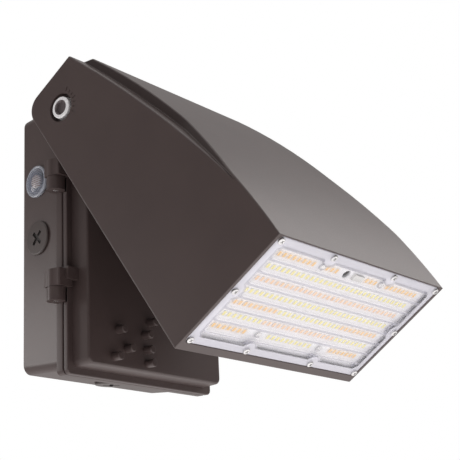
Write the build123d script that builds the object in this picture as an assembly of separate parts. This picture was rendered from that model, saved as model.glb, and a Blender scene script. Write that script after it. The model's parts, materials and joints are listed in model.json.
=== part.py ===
from build123d import *
import math
import os

# Adjustable LED wall pack light, in millimetres. X runs along the wall, the wall is the plane Y = 0
# with the light on its -Y side, and Z is up. The origin is the centre of the box's back face.
# The box is fixed to the wall, the door swings on two pins at its left, and the head tilts on two
# bolts at the top of the door. All castings are drawn at rest, with the head at HEAD_TILT.

# Driving dimensions of the back box
CAST_WALL = 3.0
BOX_WIDTH = 150.0
BOX_HEIGHT = 200.0
BOX_DEPTH = 40.0
BOX_CORNER = 7.0
SIDE_DRAFT = 5.3
END_DRAFT = 2.5
RIM_SIDE = 1.0
RIM_END = 4.5
RIM_DEPTH = 6.5
RIM_LAND = 5.8
RIM_CORNER = 4.0
CAST_EDGE = 0.8
GASKET_THICK = 0.9
GASKET_WIDTH = 2.2
DOOR_GAP = 1.0

# Wall fixing and wire entries
WALL_HOLE_ACROSS = 100.0
WALL_HOLE_UP = 140.0
WALL_HOLE_RADIUS = 3.25
WIRE_ENTRY_RADIUS = 11.1
ENTRY_RADIUS = 10.6
ENTRY_OUT = 18.3
ENTRY_BOSS_RADIUS = 14.5
ENTRY_BOSS_RISE = 4.0
PLUG_HEAD_RADIUS = 13.0
PLUG_HEAD_RISE = 1.8
THREAD_PLAY = 0.15
CELL_UP = 44.5
CELL_OUT = 17.5
CELL_LENS_RADIUS = 12.3
CELL_RIM_HEIGHT = 2.4
CELL_RIM_EDGE = 0.6
CELL_RIM_WIDTH = 2.2
CELL_DOME_RISE = 5.5
CELL_BODY_RADIUS = 8.0
CELL_BODY_LENGTH = 20.0
CELL_NUT_THICK = 4.0
CELL_NUT_REACH = 4.0
CELL_BOSS_RISE = 2.5

# Door
FLANGE_THICK = 4.0
PANEL_RISE = 15.3
PANEL_INSET = 5.2
PANEL_DRAFT = 0.8
PANEL_CORNER = 5.0
PANEL_EDGE = 2.2
STUD_RADIUS = 3.1
STUD_LENGTH = 7.5
# Studs of the door, from the left and the lower edge of its panel
STUDS = ((31.1, 28.8), (60.1, 28.3), (66.1, 38.8), (40.1, 15.8),
         (61.6, 17.3), (26.6, 8.3), (63.1, 7.3))

# Hinges: a pin stands in each knuckle of the box, and the door's block drops over it
HINGE_OUT = 45.5
HINGE_BESIDE = 5.2
HINGE_LEVELS = (39.0, -44.5)
KNUCKLE_RADIUS = 6.8
KNUCKLE_HEIGHT = 10.0
HINGE_BLOCK_HEIGHT = 13.0
HINGE_NOTCH = 7.8
PIN_RADIUS = 2.2
PIN_PLAY = 0.25
PIN_SHORT = 2.0
PIN_CAP = 1.5

# Closing screws at the door's right side
CLOSER_INSET = 15.3
CLOSER_UP = 58.0
CLOSER_RADIUS = 2.5
CLOSER_HEAD_RADIUS = 4.6
CLOSER_PLAY = 0.5
CLOSER_BITE = 9.0

# Pivot of the head
PIVOT_OUT = 69.0
PIVOT_BELOW_TOP = 18.8
PIVOT_ARM_RADIUS = 15.0
PIVOT_ARM_INSET = 17.0
PIVOT_BOSS_RADIUS = 16.0
PIVOT_BOSS_RISE = 6.8
PIVOT_RECESS_RADIUS = 10.8
PIVOT_RECESS_DEPTH = 5.2
BOLT_RADIUS = 5.0
BOLT_PLAY = 0.3
BOLT_HEAD_RADIUS = 8.2
BOLT_HEAD_HEIGHT = 4.6
BOLT_SOCKET = 9.4
BOLT_LENGTH = 28.0
WASHER_THICK = 1.0
FRICTION_THICK = 1.3

# Head, drawn hanging straight down from the pivot, then tilted
HEAD_TILT = 34.0
HEAD_WIDTH = 209.6
HEAD_TOP = 27.0
HEAD_REAR = 25.0
HEAD_CORNER = 13.0
HEAD_DROP = 215.4
TOP_REACH = 28.5
LENS_REACH = 79.4
LEDGE_BOW = 8.5
LEDGE_END = 0.77
CROWN_INSET = 15.5
CROWN_BOW = 15.4
CROWN_STEP = 6.4
CROWN_PEAK = 0.43
CROWN_ROOT = 14.0
CROWN_STRAIGHT = 0.48
CROWN_FLARE = 0.76
CROWN_BEND = 60.0
CHAMBER_DEPTH = 5.2
CHAMBER_FLOOR = 3.0
FIN_COUNT = 11
FIN_PITCH = 16.0
FIN_THICK = 2.2
FIN_RISE = 38.0
FIN_REAR = 14.0
FIN_TOE = 10.0
FIN_SLOPE = 26.0

# Lens and lamp board
LENS_MARGIN_SIDE = 3.6
LENS_MARGIN_REAR = 7.0
LENS_MARGIN_FRONT = 1.5
LENS_SEAT = 6.6
LENS_CORNER = 4.0
LENS_THICK = 2.4
LENS_TRAY = 1.2
LENS_TRAY_WALL = 1.5
LENS_TRAY_FLOOR = 1.0
LENS_SCREW_INSET = 3.0
LENS_SCREW_RADIUS = 1.5
LENS_SCREW_HEAD = 2.7
LENS_SCREW_RISE = 1.7
LENS_SCREW_EDGE = 0.9
LENS_GASKET = 0.8
LENS_PLAY = 0.3
BOARD_PLAY = 1.0
BOARD_THICK = 1.6
LED_WIDTH = 2.8
LED_LENGTH = 4.0
LED_HEIGHT = 0.7
LED_PITCH = 5.5
ROW_PITCH = 11.0
ROW_MARGIN_SIDE = 8.0
ROW_MARGIN_REAR = 8.5
ROW_MARGIN_FRONT = 6.0
BOARD_SCREW_ACROSS = 37.0
LENS_SCREW_BITE = 5.5

# Sizes that follow from those above
RIM_BACK = -BOX_DEPTH
RIM_FRONT = -(BOX_DEPTH + RIM_DEPTH)
FLANGE_BACK = RIM_FRONT - DOOR_GAP
FLANGE_FRONT = FLANGE_BACK - FLANGE_THICK
PANEL_FRONT = FLANGE_FRONT - PANEL_RISE
DOOR_INSIDE = PANEL_FRONT + CAST_WALL
RIM_HALF_WIDTH = BOX_WIDTH / 2 + SIDE_DRAFT + RIM_SIDE
RIM_HALF_HEIGHT = BOX_HEIGHT / 2 + END_DRAFT + RIM_END
MOUTH_HALF_WIDTH = RIM_HALF_WIDTH - RIM_LAND
MOUTH_HALF_HEIGHT = RIM_HALF_HEIGHT - RIM_LAND - RIM_END / 2
HINGE_X = -(RIM_HALF_WIDTH + HINGE_BESIDE)
CLOSER_X = RIM_HALF_WIDTH - CLOSER_INSET
EAR_OUTSIDE = HEAD_WIDTH / 2
EAR_INSIDE = EAR_OUTSIDE - CAST_WALL
BOSS_FACE = EAR_INSIDE - PIVOT_BOSS_RISE
RECESS_FACE = EAR_OUTSIDE - PIVOT_RECESS_DEPTH
ARM_END = BOSS_FACE - FRICTION_THICK
PANEL_HALF_WIDTH = RIM_HALF_WIDTH - PANEL_INSET
PANEL_HALF_HEIGHT = RIM_HALF_HEIGHT - PANEL_INSET
PIVOT_UP = PANEL_HALF_HEIGHT - PIVOT_BELOW_TOP
LENS_LEVEL = -HEAD_DROP
CHAMBER_ROOF = LENS_LEVEL + CHAMBER_DEPTH
SHROUD_FLOOR = CHAMBER_ROOF + CHAMBER_FLOOR
LENS_SEAT_LEVEL = LENS_LEVEL + LENS_THICK + LENS_GASKET + LENS_PLAY
LENS_HALF_WIDTH = EAR_OUTSIDE - LENS_MARGIN_SIDE
LENS_FRONT = -(LENS_REACH - LENS_MARGIN_FRONT)
LENS_REAR = HEAD_REAR - LENS_MARGIN_REAR
BOARD_HALF_WIDTH = LENS_HALF_WIDTH - LENS_SEAT - BOARD_PLAY
BOARD_FRONT = LENS_FRONT + LENS_SEAT + BOARD_PLAY
BOARD_REAR = LENS_REAR - LENS_SEAT - BOARD_PLAY
BOARD_FACE = CHAMBER_ROOF - BOARD_THICK
LED_PER_ROW = 1 + int(2 * (BOARD_HALF_WIDTH - ROW_MARGIN_SIDE) / LED_PITCH)
LED_ROWS = 1 + int((BOARD_REAR - BOARD_FRONT - ROW_MARGIN_REAR - ROW_MARGIN_FRONT) / ROW_PITCH)


# Plain solids
def block(x0, x1, y0, y1, z0, z1):
    """Box between two opposite corners."""
    return Pos((x0 + x1) / 2, (y0 + y1) / 2, (z0 + z1) / 2) * Box(abs(x1 - x0), abs(y1 - y0), abs(z1 - z0))


def rod_x(radius, x0, x1, y, z):
    """Round bar along X."""
    return Pos((x0 + x1) / 2, y, z) * Rot(0, 90, 0) * Cylinder(radius, abs(x1 - x0))


def rod_y(radius, y0, y1, x, z):
    """Round bar along Y."""
    return Pos(x, (y0 + y1) / 2, z) * Rot(90, 0, 0) * Cylinder(radius, abs(y1 - y0))


def rod_z(radius, z0, z1, x, y):
    """Round bar along Z."""
    return Pos(x, y, (z0 + z1) / 2) * Cylinder(radius, abs(z1 - z0))


def front_sketch(half_width, half_height, y, corner):
    """Rounded rectangle that faces the viewer, at depth y."""
    plane = Plane(origin=(0, y, 0), x_dir=(1, 0, 0), z_dir=(0, -1, 0))
    return plane * RectangleRounded(2 * half_width, 2 * half_height, corner)


def tapered(half_width0, half_height0, y0, half_width1, half_height1, y1, corner):
    """Rounded rectangle drawn from depth y0 to depth y1, with draft."""
    return loft([front_sketch(half_width0, half_height0, y0, corner).face(),
                 front_sketch(half_width1, half_height1, y1, corner).face()])


def straight(half_width, half_height, y0, y1, corner):
    """Rounded rectangle drawn straight from depth y0 to depth y1."""
    return extrude(front_sketch(half_width, half_height, max(y0, y1), corner), abs(y1 - y0))


def soft_plate(half_width, half_height, y0, y1, corner):
    """Flat rounded plate with softened edges."""
    plate = straight(half_width, half_height, y0, y1, corner)
    ends = plate.faces().sort_by(Axis.Y)
    return fillet(ends[0].edges() + ends[-1].edges(), CAST_EDGE)


def joined(shapes):
    """Separate solids that share one node."""
    solids = [solid for shape in shapes for solid in shape.solids()]
    return Compound(children=solids) if len(solids) > 1 else solids[0]


# Seats on the box's drafted walls: local Z points out of the wall
def side_seat(side, out, up):
    """Seat on the left (-1) or right (+1) wall, a distance out from the wall plane."""
    slant = math.hypot(SIDE_DRAFT, BOX_DEPTH)
    x = BOX_WIDTH / 2 + SIDE_DRAFT * out / BOX_DEPTH
    return Plane(origin=(side * x, -out, up), x_dir=(0, 0, 1),
                 z_dir=(side * BOX_DEPTH / slant, SIDE_DRAFT / slant, 0))


def bottom_seat(across, out):
    """Seat on the box's bottom wall."""
    slant = math.hypot(END_DRAFT, BOX_DEPTH)
    z = BOX_HEIGHT / 2 + END_DRAFT * out / BOX_DEPTH
    return Plane(origin=(across, -out, -z), x_dir=(1, 0, 0),
                 z_dir=(0, END_DRAFT / slant, -BOX_DEPTH / slant))


ENTRY_SEATS = {"left": side_seat(-1, ENTRY_OUT, 0), "right": side_seat(1, ENTRY_OUT, 0),
               "bottom": bottom_seat(0, ENTRY_OUT)}
CELL_SEAT = side_seat(-1, CELL_OUT, CELL_UP)


# Back box and what it carries
TERMINAL_X, TERMINAL_Z = 28.0, -62.0
TERMINAL_WIDTH, TERMINAL_HEIGHT, TERMINAL_DEPTH = 40.0, 20.0, 15.0
TERMINAL_POST = 3.0
EARTH_X, EARTH_Z = -30.0, -62.0
EARTH_BOSS_RADIUS, EARTH_BOSS_RISE = 5.5, 5.0
CLOSER_BOSS_RADIUS = 5.5
HUB_RADIUS, HUB_RISE = 14.5, 4.0


def wall_boss(seat, radius, rise):
    """Round boss on the inside of a wall, which starts inside the wall's own thickness."""
    skin, depth = CAST_WALL / 3, CAST_WALL + rise
    return seat * Pos(0, 0, -(skin + depth) / 2) * Cylinder(radius, depth - skin)


def back_box():
    half_width, half_height = BOX_WIDTH / 2, BOX_HEIGHT / 2
    body = tapered(half_width, half_height, 0, half_width + SIDE_DRAFT, half_height + END_DRAFT,
                   RIM_BACK, BOX_CORNER)
    body += soft_plate(RIM_HALF_WIDTH, RIM_HALF_HEIGHT, RIM_BACK, RIM_FRONT, RIM_CORNER)
    body -= tapered(half_width - CAST_WALL, half_height - CAST_WALL, -CAST_WALL,
                    MOUTH_HALF_WIDTH, MOUTH_HALF_HEIGHT, RIM_FRONT, BOX_CORNER - CAST_WALL)
    for seat in ENTRY_SEATS.values():
        body += wall_boss(seat, ENTRY_BOSS_RADIUS, ENTRY_BOSS_RISE)
    body += wall_boss(CELL_SEAT, CELL_BODY_RADIUS + CELL_NUT_REACH + 1, CELL_BOSS_RISE)
    body += rod_y(HUB_RADIUS, -1, -CAST_WALL - HUB_RISE, 0, 0)
    for up in (CLOSER_UP, -CLOSER_UP):
        body += rod_y(CLOSER_BOSS_RADIUS, -1, RIM_FRONT, CLOSER_X, up)
        body += block(CLOSER_X, MOUTH_HALF_WIDTH + 1, -1, RIM_FRONT, up - 2, up + 2)
    body += rod_y(EARTH_BOSS_RADIUS, -1, -CAST_WALL - EARTH_BOSS_RISE, EARTH_X, EARTH_Z)
    body += block(TERMINAL_X - TERMINAL_WIDTH / 2, TERMINAL_X + TERMINAL_WIDTH / 2, -1,
                  -CAST_WALL - TERMINAL_POST, TERMINAL_Z - TERMINAL_HEIGHT / 2,
                  TERMINAL_Z + TERMINAL_HEIGHT / 2)
    for seat in ENTRY_SEATS.values():
        body -= seat * Cylinder(ENTRY_RADIUS, 4 * ENTRY_BOSS_RADIUS)
    body -= CELL_SEAT * Cylinder(CELL_BODY_RADIUS + THREAD_PLAY, 6 * CAST_WALL)
    body -= rod_y(WIRE_ENTRY_RADIUS, 1, -CAST_WALL - HUB_RISE - 1, 0, 0)
    for across in (-WALL_HOLE_ACROSS / 2, WALL_HOLE_ACROSS / 2):
        for up in (-WALL_HOLE_UP / 2, WALL_HOLE_UP / 2):
            body -= rod_y(WALL_HOLE_RADIUS, 1, -CAST_WALL - 1, across, up)
    for up in (CLOSER_UP, -CLOSER_UP):
        body -= rod_y(CLOSER_RADIUS + CLOSER_PLAY, RIM_FRONT + CLOSER_BITE + 4, RIM_FRONT - 1, CLOSER_X, up)
    body -= rod_y(EARTH_SCREW_RADIUS, 0.5 - SCREW_TIP, -CAST_WALL - EARTH_BOSS_RISE - 1, EARTH_X, EARTH_Z)
    for x in terminal_screw_places():
        body -= rod_y(TERMINAL_SCREW_RADIUS, 0.5 - SCREW_TIP, -CAST_WALL - TERMINAL_POST - 1, x, TERMINAL_Z)
    for level in HINGE_LEVELS:
        body -= rod_z(HINGE_NOTCH, level, level + HINGE_BLOCK_HEIGHT + 0.6, HINGE_X, -HINGE_OUT)
        knuckle = rod_z(KNUCKLE_RADIUS, level - KNUCKLE_HEIGHT, level, HINGE_X, -HINGE_OUT)
        knuckle += block(HINGE_X, -MOUTH_HALF_WIDTH - 1.5, RIM_FRONT, RIM_BACK, level - KNUCKLE_HEIGHT, level)
        body += knuckle
        body -= rod_z(PIN_RADIUS, level - KNUCKLE_HEIGHT, level + 1, HINGE_X, -HINGE_OUT)
    return body


def door_gasket():
    inner = (MOUTH_HALF_WIDTH + 0.4, MOUTH_HALF_HEIGHT + 0.4)
    outer = (inner[0] + GASKET_WIDTH, inner[1] + GASKET_WIDTH)
    front = RIM_FRONT - GASKET_THICK
    ring = straight(outer[0], outer[1], RIM_FRONT, front, BOX_CORNER - CAST_WALL + GASKET_WIDTH)
    return ring - straight(inner[0], inner[1], RIM_FRONT + 1, front - 1, BOX_CORNER - CAST_WALL)


def hinge_pins():
    length = HINGE_BLOCK_HEIGHT - PIN_SHORT
    return joined([rod_z(PIN_RADIUS, level - KNUCKLE_HEIGHT, level + length, HINGE_X, -HINGE_OUT)
                   for level in HINGE_LEVELS])


PLUG_SLOT = 12.5
PLUG_SLOT_WIDTH = 2.6
PLUG_SLOT_DEPTH = 1.2
PLUG_SLOT_TURN = 45


def conduit_plug(seat):
    """Threaded plug with a thin round head and a cross slot."""
    depth = CAST_WALL + ENTRY_BOSS_RISE
    head = Pos(0, 0, PLUG_HEAD_RISE / 2) * Cylinder(PLUG_HEAD_RADIUS, PLUG_HEAD_RISE)
    head = chamfer(head.edges().filter_by(GeomType.CIRCLE).sort_by(Axis.Z)[-1], PLUG_HEAD_RISE / 3)
    body = head + Pos(0, 0, -depth / 2) * Cylinder(ENTRY_RADIUS - THREAD_PLAY, depth)
    for turn in (PLUG_SLOT_TURN, PLUG_SLOT_TURN + 90):
        body -= (Pos(0, 0, PLUG_HEAD_RISE) * Rot(0, 0, turn)
                 * Box(PLUG_SLOT, PLUG_SLOT_WIDTH, 2 * PLUG_SLOT_DEPTH))
    return seat * body


def photocell_lens():
    """Clear cap: a round rim and a low dome that stands off the wall."""
    rim = Pos(0, 0, CELL_RIM_HEIGHT / 2) * Cylinder(CELL_LENS_RADIUS, CELL_RIM_HEIGHT)
    rim = chamfer(rim.edges().filter_by(GeomType.CIRCLE).sort_by(Axis.Z)[-1], CELL_RIM_EDGE)
    ball = 1.25 * CELL_LENS_RADIUS
    dome = Pos(0, 0, CELL_DOME_RISE - ball) * Sphere(ball)
    dome &= Pos(0, 0, CELL_DOME_RISE) * Cylinder(CELL_LENS_RADIUS - CELL_RIM_WIDTH, 2 * CELL_DOME_RISE)
    return CELL_SEAT * (rim + dome)


def photocell_body():
    """Threaded barrel of the sensor, behind its cap."""
    return CELL_SEAT * Pos(0, 0, -CELL_BODY_LENGTH / 2) * Cylinder(CELL_BODY_RADIUS, CELL_BODY_LENGTH)


def photocell_nut():
    nut = extrude(RegularPolygon(CELL_BODY_RADIUS + CELL_NUT_REACH, 6), CELL_NUT_THICK)
    nut -= Cylinder(CELL_BODY_RADIUS, 4 * CELL_NUT_THICK)
    return CELL_SEAT * Pos(0, 0, -CAST_WALL - CELL_BOSS_RISE - CELL_NUT_THICK) * nut


EARTH_SCREW_RADIUS = 2.4
EARTH_HEAD_RADIUS, EARTH_HEAD_HEIGHT = 4.6, 3.2
TERMINAL_SCREW_RADIUS = 1.7
TERMINAL_HEAD_RADIUS, TERMINAL_HEAD_HEIGHT = 3.0, 2.4
TERMINAL_TAB = 4.0
SCREW_TIP = 2.0


def terminal_screw_places():
    inset = TERMINAL_WIDTH / 2 - 4
    return (TERMINAL_X - inset, TERMINAL_X + inset)


def ground_screw():
    top = -CAST_WALL - EARTH_BOSS_RISE
    screw = rod_y(EARTH_SCREW_RADIUS - 0.05, -SCREW_TIP, top - 1, EARTH_X, EARTH_Z)
    screw += rod_y(EARTH_HEAD_RADIUS + 1, top, top - 1, EARTH_X, EARTH_Z)
    hexagon = extrude(RegularPolygon(EARTH_HEAD_RADIUS, 6), EARTH_HEAD_HEIGHT)
    return screw + Pos(EARTH_X, top - 1, EARTH_Z) * Rot(90, 0, 0) * hexagon


def terminal_block():
    back = -CAST_WALL - TERMINAL_POST
    low, high = TERMINAL_Z - TERMINAL_HEIGHT / 2, TERMINAL_Z + TERMINAL_HEIGHT / 2
    x0, x1 = TERMINAL_X - TERMINAL_WIDTH / 2, TERMINAL_X + TERMINAL_WIDTH / 2
    body = block(x0, x1, back - TERMINAL_DEPTH, back, low, high)
    for x in terminal_screw_places():
        seat = back - TERMINAL_TAB
        body -= rod_y(1.2 * TERMINAL_HEAD_RADIUS, seat, back - TERMINAL_DEPTH - 1, x, TERMINAL_Z)
        body -= rod_y(TERMINAL_SCREW_RADIUS + 0.2, back + 1, seat - 1, x, TERMINAL_Z)
    pitch = (TERMINAL_WIDTH - 16) / 3
    for pole in range(3):
        x = TERMINAL_X + (pole - 1) * pitch
        body -= rod_z(2.2, low - 1, high + 1, x, back - TERMINAL_DEPTH / 2)
        body -= rod_y(1.6, back - TERMINAL_DEPTH / 2, back - TERMINAL_DEPTH - 1, x, TERMINAL_Z + 4)
    return body


def terminal_screws():
    seat = -CAST_WALL - TERMINAL_POST - TERMINAL_TAB
    return joined([rod_y(TERMINAL_SCREW_RADIUS - 0.05, -SCREW_TIP, seat, x, TERMINAL_Z)
                   + rod_y(TERMINAL_HEAD_RADIUS, seat, seat - TERMINAL_HEAD_HEIGHT, x, TERMINAL_Z)
                   for x in terminal_screw_places()])


# Door and what it carries
DRIVER_HEIGHT, DRIVER_DEPTH, DRIVER_Z = 58.0, 24.0, 18.0
DRIVER_TAB, DRIVER_TAB_THICK = 8.0, 2.0
DRIVER_ROOM_LEFT, DRIVER_ROOM_RIGHT = 4.3, 12.3
DRIVER_LEFT = -(PANEL_HALF_WIDTH - CAST_WALL - PANEL_DRAFT) + DRIVER_ROOM_LEFT + DRIVER_TAB
DRIVER_RIGHT = PANEL_HALF_WIDTH - CAST_WALL - PANEL_DRAFT - DRIVER_ROOM_RIGHT - DRIVER_TAB
DRIVER_SCREW_RADIUS = 1.9
DRIVER_SCREW_TIP = 0.5
DRIVER_HEAD_RADIUS, DRIVER_HEAD_HEIGHT = 3.4, 2.2
DRIVER_POST, DRIVER_RISE = 4.0, 3.0
SURGE_LENGTH, SURGE_HEIGHT, SURGE_DEPTH = 34.0, 26.0, 18.0
SURGE_X, SURGE_Z = -34.0, -52.0
GLAND_X, GLAND_Z = 30.0, 68.0
GLAND_HOLE, GLAND_PLAY = 6.0, 0.15
GLAND_FLAT, GLAND_RISE, GLAND_DOME = 8.0, 5.0, 8.0
GLAND_BORE = 3.4
GLAND_NUT_THICK, GLAND_TAIL = 3.0, 0.4


def hinge_arm(level):
    """Block that drops over the hinge pin, with the arm that joins it to the door."""
    low, high = level + 0.3, level + HINGE_BLOCK_HEIGHT
    outer = HINGE_X - 6.0
    rear, front = -(HINGE_OUT - KNUCKLE_RADIUS), -(HINGE_OUT + 9.2)
    shape = rod_z(KNUCKLE_RADIUS, low, high, HINGE_X, -HINGE_OUT)
    outline = block(outer, HINGE_X - 2.5, rear, front, low, high)
    outline = fillet(outline.edges().filter_by(Axis.Z).sort_by(Axis.X)[:2], 1.5)
    shape += outline
    shape += block(HINGE_X - 3, -RIM_HALF_WIDTH + 2, FLANGE_BACK, front, low, high)
    shape += block(HINGE_X, -PANEL_HALF_WIDTH + 1.5, FLANGE_FRONT, front - 3, high - 7.5, high + 1.2)
    return shape


def pivot_arm(side):
    inner = PANEL_HALF_WIDTH - PIVOT_ARM_INSET
    arm = rod_x(PIVOT_ARM_RADIUS, side * inner, side * ARM_END, -PIVOT_OUT, PIVOT_UP)
    return fillet(arm.edges().filter_by(GeomType.CIRCLE).sort_by(Axis.X)[0 if side > 0 else -1], 2)


def driver_screw_places():
    return [(x, DRIVER_Z + up) for x in (DRIVER_LEFT - DRIVER_TAB / 2, DRIVER_RIGHT + DRIVER_TAB / 2)
            for up in (-DRIVER_HEIGHT / 4, DRIVER_HEIGHT / 4)]


def stud_places():
    return [(across - PANEL_HALF_WIDTH, up - PANEL_HALF_HEIGHT) for across, up in STUDS]


def front_door():
    flange = soft_plate(RIM_HALF_WIDTH, RIM_HALF_HEIGHT, FLANGE_BACK, FLANGE_FRONT, RIM_CORNER)
    panel = tapered(PANEL_HALF_WIDTH, PANEL_HALF_HEIGHT, FLANGE_FRONT, PANEL_HALF_WIDTH - PANEL_DRAFT,
                    PANEL_HALF_HEIGHT - PANEL_DRAFT, PANEL_FRONT, PANEL_CORNER)
    panel = fillet(panel.faces().sort_by(Axis.Y)[0].edges(), PANEL_EDGE)
    body = flange + panel
    for side in (-1, 1):
        body += pivot_arm(side)
    inset = CAST_WALL + PANEL_DRAFT
    hollow = tapered(PANEL_HALF_WIDTH - CAST_WALL, PANEL_HALF_HEIGHT - CAST_WALL, FLANGE_BACK,
                     PANEL_HALF_WIDTH - inset, PANEL_HALF_HEIGHT - inset, DOOR_INSIDE, PANEL_CORNER - 2)
    for side in (-1, 1):
        hollow -= pivot_arm(side)
    body -= hollow
    for up in (CLOSER_UP, -CLOSER_UP):
        body += rod_y(CLOSER_HEAD_RADIUS + 2.4, FLANGE_BACK, DOOR_INSIDE, CLOSER_X, up)
    for x, z in driver_screw_places():
        body += rod_y(DRIVER_POST, DOOR_INSIDE - 1, DOOR_INSIDE + DRIVER_RISE, x, z)
    body += block(SURGE_X - SURGE_LENGTH / 2, SURGE_X + SURGE_LENGTH / 2, DOOR_INSIDE - 1, DOOR_INSIDE + 1.5,
                  SURGE_Z - SURGE_HEIGHT / 2, SURGE_Z + SURGE_HEIGHT / 2)
    for x, z in stud_places():
        stud = rod_y(STUD_RADIUS, PANEL_FRONT + 1, PANEL_FRONT - STUD_LENGTH, x, z)
        body += fillet(stud.edges().filter_by(GeomType.CIRCLE).sort_by(Axis.Y)[0], 0.8)
    for level in HINGE_LEVELS:
        body -= rod_z(HINGE_NOTCH, level - KNUCKLE_HEIGHT - 0.6, level + 0.3, HINGE_X, -HINGE_OUT)
        body += hinge_arm(level)
        bore_top = level + HINGE_BLOCK_HEIGHT - PIN_CAP
        body -= rod_z(PIN_RADIUS + PIN_PLAY, level - 1, bore_top, HINGE_X, -HINGE_OUT)
    for up in (CLOSER_UP, -CLOSER_UP):
        body -= rod_y(CLOSER_RADIUS + 0.2, FLANGE_BACK + 1, PANEL_FRONT - 1, CLOSER_X, up)
        body -= rod_y(CLOSER_HEAD_RADIUS + 0.5, PANEL_FRONT + 1.2, PANEL_FRONT - 1, CLOSER_X, up)
    for x, z in driver_screw_places():
        body -= rod_y(DRIVER_SCREW_RADIUS, DOOR_INSIDE + DRIVER_RISE + 1, DOOR_INSIDE - 1, x, z)
    body -= rod_y(GLAND_HOLE, PANEL_FRONT - 1, DOOR_INSIDE + 1, GLAND_X, GLAND_Z)
    for side in (-1, 1):
        body -= rod_x(BOLT_RADIUS, side * (RECESS_FACE - BOLT_LENGTH - 1), side * (ARM_END + 1),
                      -PIVOT_OUT, PIVOT_UP)
    return body


def captive_screws():
    """Door screws: a slotted head in its counterbore and a long plain shank with its tip in the box."""
    screws = []
    seat = PANEL_FRONT + 1.2
    for up in (CLOSER_UP, -CLOSER_UP):
        screw = rod_y(CLOSER_RADIUS, seat, RIM_FRONT + CLOSER_BITE, CLOSER_X, up)
        head = rod_y(CLOSER_HEAD_RADIUS, seat, seat - 3.4, CLOSER_X, up)
        head = chamfer(head.edges().filter_by(GeomType.CIRCLE).sort_by(Axis.Y)[0], 0.7)
        slot = block(CLOSER_X - 5, CLOSER_X + 5, seat - 2, seat - 4, up - 0.7, up + 0.7)
        screws.append(screw + head - slot)
    return joined(screws)


def screw_retainers():
    """Nylon rings that keep the screws in the door when it is open."""
    rings = []
    for up in (CLOSER_UP, -CLOSER_UP):
        ring = rod_y(CLOSER_RADIUS + 2, FLANGE_BACK + 0.8, FLANGE_BACK, CLOSER_X, up)
        rings.append(ring - rod_y(CLOSER_RADIUS + 0.02, FLANGE_BACK + 2, FLANGE_BACK - 1, CLOSER_X, up))
    return joined(rings)


def led_driver():
    back, half_height = DOOR_INSIDE + DRIVER_RISE, DRIVER_HEIGHT / 2
    case = block(DRIVER_LEFT, DRIVER_RIGHT, back, back + DRIVER_DEPTH,
                 DRIVER_Z - half_height, DRIVER_Z + half_height)
    case = fillet(case.edges().filter_by(Axis.X), 2)
    case += block(DRIVER_LEFT - DRIVER_TAB, DRIVER_RIGHT + DRIVER_TAB, back, back + DRIVER_TAB_THICK,
                  DRIVER_Z - 0.4 * DRIVER_HEIGHT, DRIVER_Z + 0.4 * DRIVER_HEIGHT)
    for x, z in driver_screw_places():
        case -= rod_y(DRIVER_SCREW_RADIUS + 0.3, back - 1, back + DRIVER_TAB_THICK + 1, x, z)
    return case


def driver_screws():
    seat = DOOR_INSIDE + DRIVER_RISE + DRIVER_TAB_THICK
    screws = []
    for x, z in driver_screw_places():
        screw = rod_y(DRIVER_SCREW_RADIUS - 0.05, DOOR_INSIDE - DRIVER_SCREW_TIP, seat, x, z)
        screws.append(screw + rod_y(DRIVER_HEAD_RADIUS, seat, seat + DRIVER_HEAD_HEIGHT, x, z))
    return joined(screws)


def surge_protector():
    back = DOOR_INSIDE + 1.5
    case = block(SURGE_X - SURGE_LENGTH / 2, SURGE_X + SURGE_LENGTH / 2, back, back + SURGE_DEPTH,
                 SURGE_Z - SURGE_HEIGHT / 2, SURGE_Z + SURGE_HEIGHT / 2)
    return fillet(case.edges().filter_by(Axis.Y), 3)


def gland(tail):
    """Cable gland, local Z out of its seat: thread of a given length, hexagon and domed cap with its hole."""
    body = Pos(0, 0, -tail / 2) * Cylinder(GLAND_HOLE - GLAND_PLAY, tail)
    body += extrude(RegularPolygon(GLAND_FLAT, 6), GLAND_RISE)
    cap = Pos(0, 0, GLAND_RISE + GLAND_DOME / 2) * Cylinder(GLAND_FLAT - 1, GLAND_DOME)
    body += fillet(cap.edges().filter_by(GeomType.CIRCLE).sort_by(Axis.Z)[-1], 2.5)
    return body - Cylinder(GLAND_BORE, 8 * GLAND_FLAT)


def gland_nut():
    """Lock nut of a cable gland, local Z out of its seat."""
    nut = extrude(RegularPolygon(GLAND_FLAT, 6), GLAND_NUT_THICK)
    return nut - Cylinder(GLAND_HOLE, 4 * GLAND_NUT_THICK)


DOOR_GLAND_SEAT = Plane(origin=(GLAND_X, PANEL_FRONT, GLAND_Z), x_dir=(1, 0, 0), z_dir=(0, -1, 0))


def door_gland():
    """Gland on the outside of the door, held by its nut inside."""
    return DOOR_GLAND_SEAT * gland(CAST_WALL + GLAND_NUT_THICK + GLAND_TAIL)


def door_gland_nut():
    return DOOR_GLAND_SEAT * Pos(0, 0, -CAST_WALL - GLAND_NUT_THICK) * gland_nut()


# Pivot hardware, all of it round about the tilt axis
def pivot_bolt(side):
    """Low socket head screw: the head sits in the recess of the side panel."""
    seat = RECESS_FACE + WASHER_THICK
    bolt = rod_x(BOLT_RADIUS - 0.02, side * (seat - BOLT_LENGTH), side * seat, -PIVOT_OUT, PIVOT_UP)
    head = rod_x(BOLT_HEAD_RADIUS, side * seat, side * (seat + BOLT_HEAD_HEIGHT), -PIVOT_OUT, PIVOT_UP)
    rims = head.edges().filter_by(GeomType.CIRCLE).sort_by(Axis.X)
    head = chamfer(rims[-1 if side > 0 else 0], 0.5)
    turn = Rot(0, 90, 0) if side > 0 else Rot(0, -90, 0)
    socket = extrude(RegularPolygon(BOLT_SOCKET / 2, 6, major_radius=False), 4)
    socket = Pos(side * (seat + BOLT_HEAD_HEIGHT - 3), -PIVOT_OUT, PIVOT_UP) * turn * socket
    return bolt + head - socket


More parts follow.
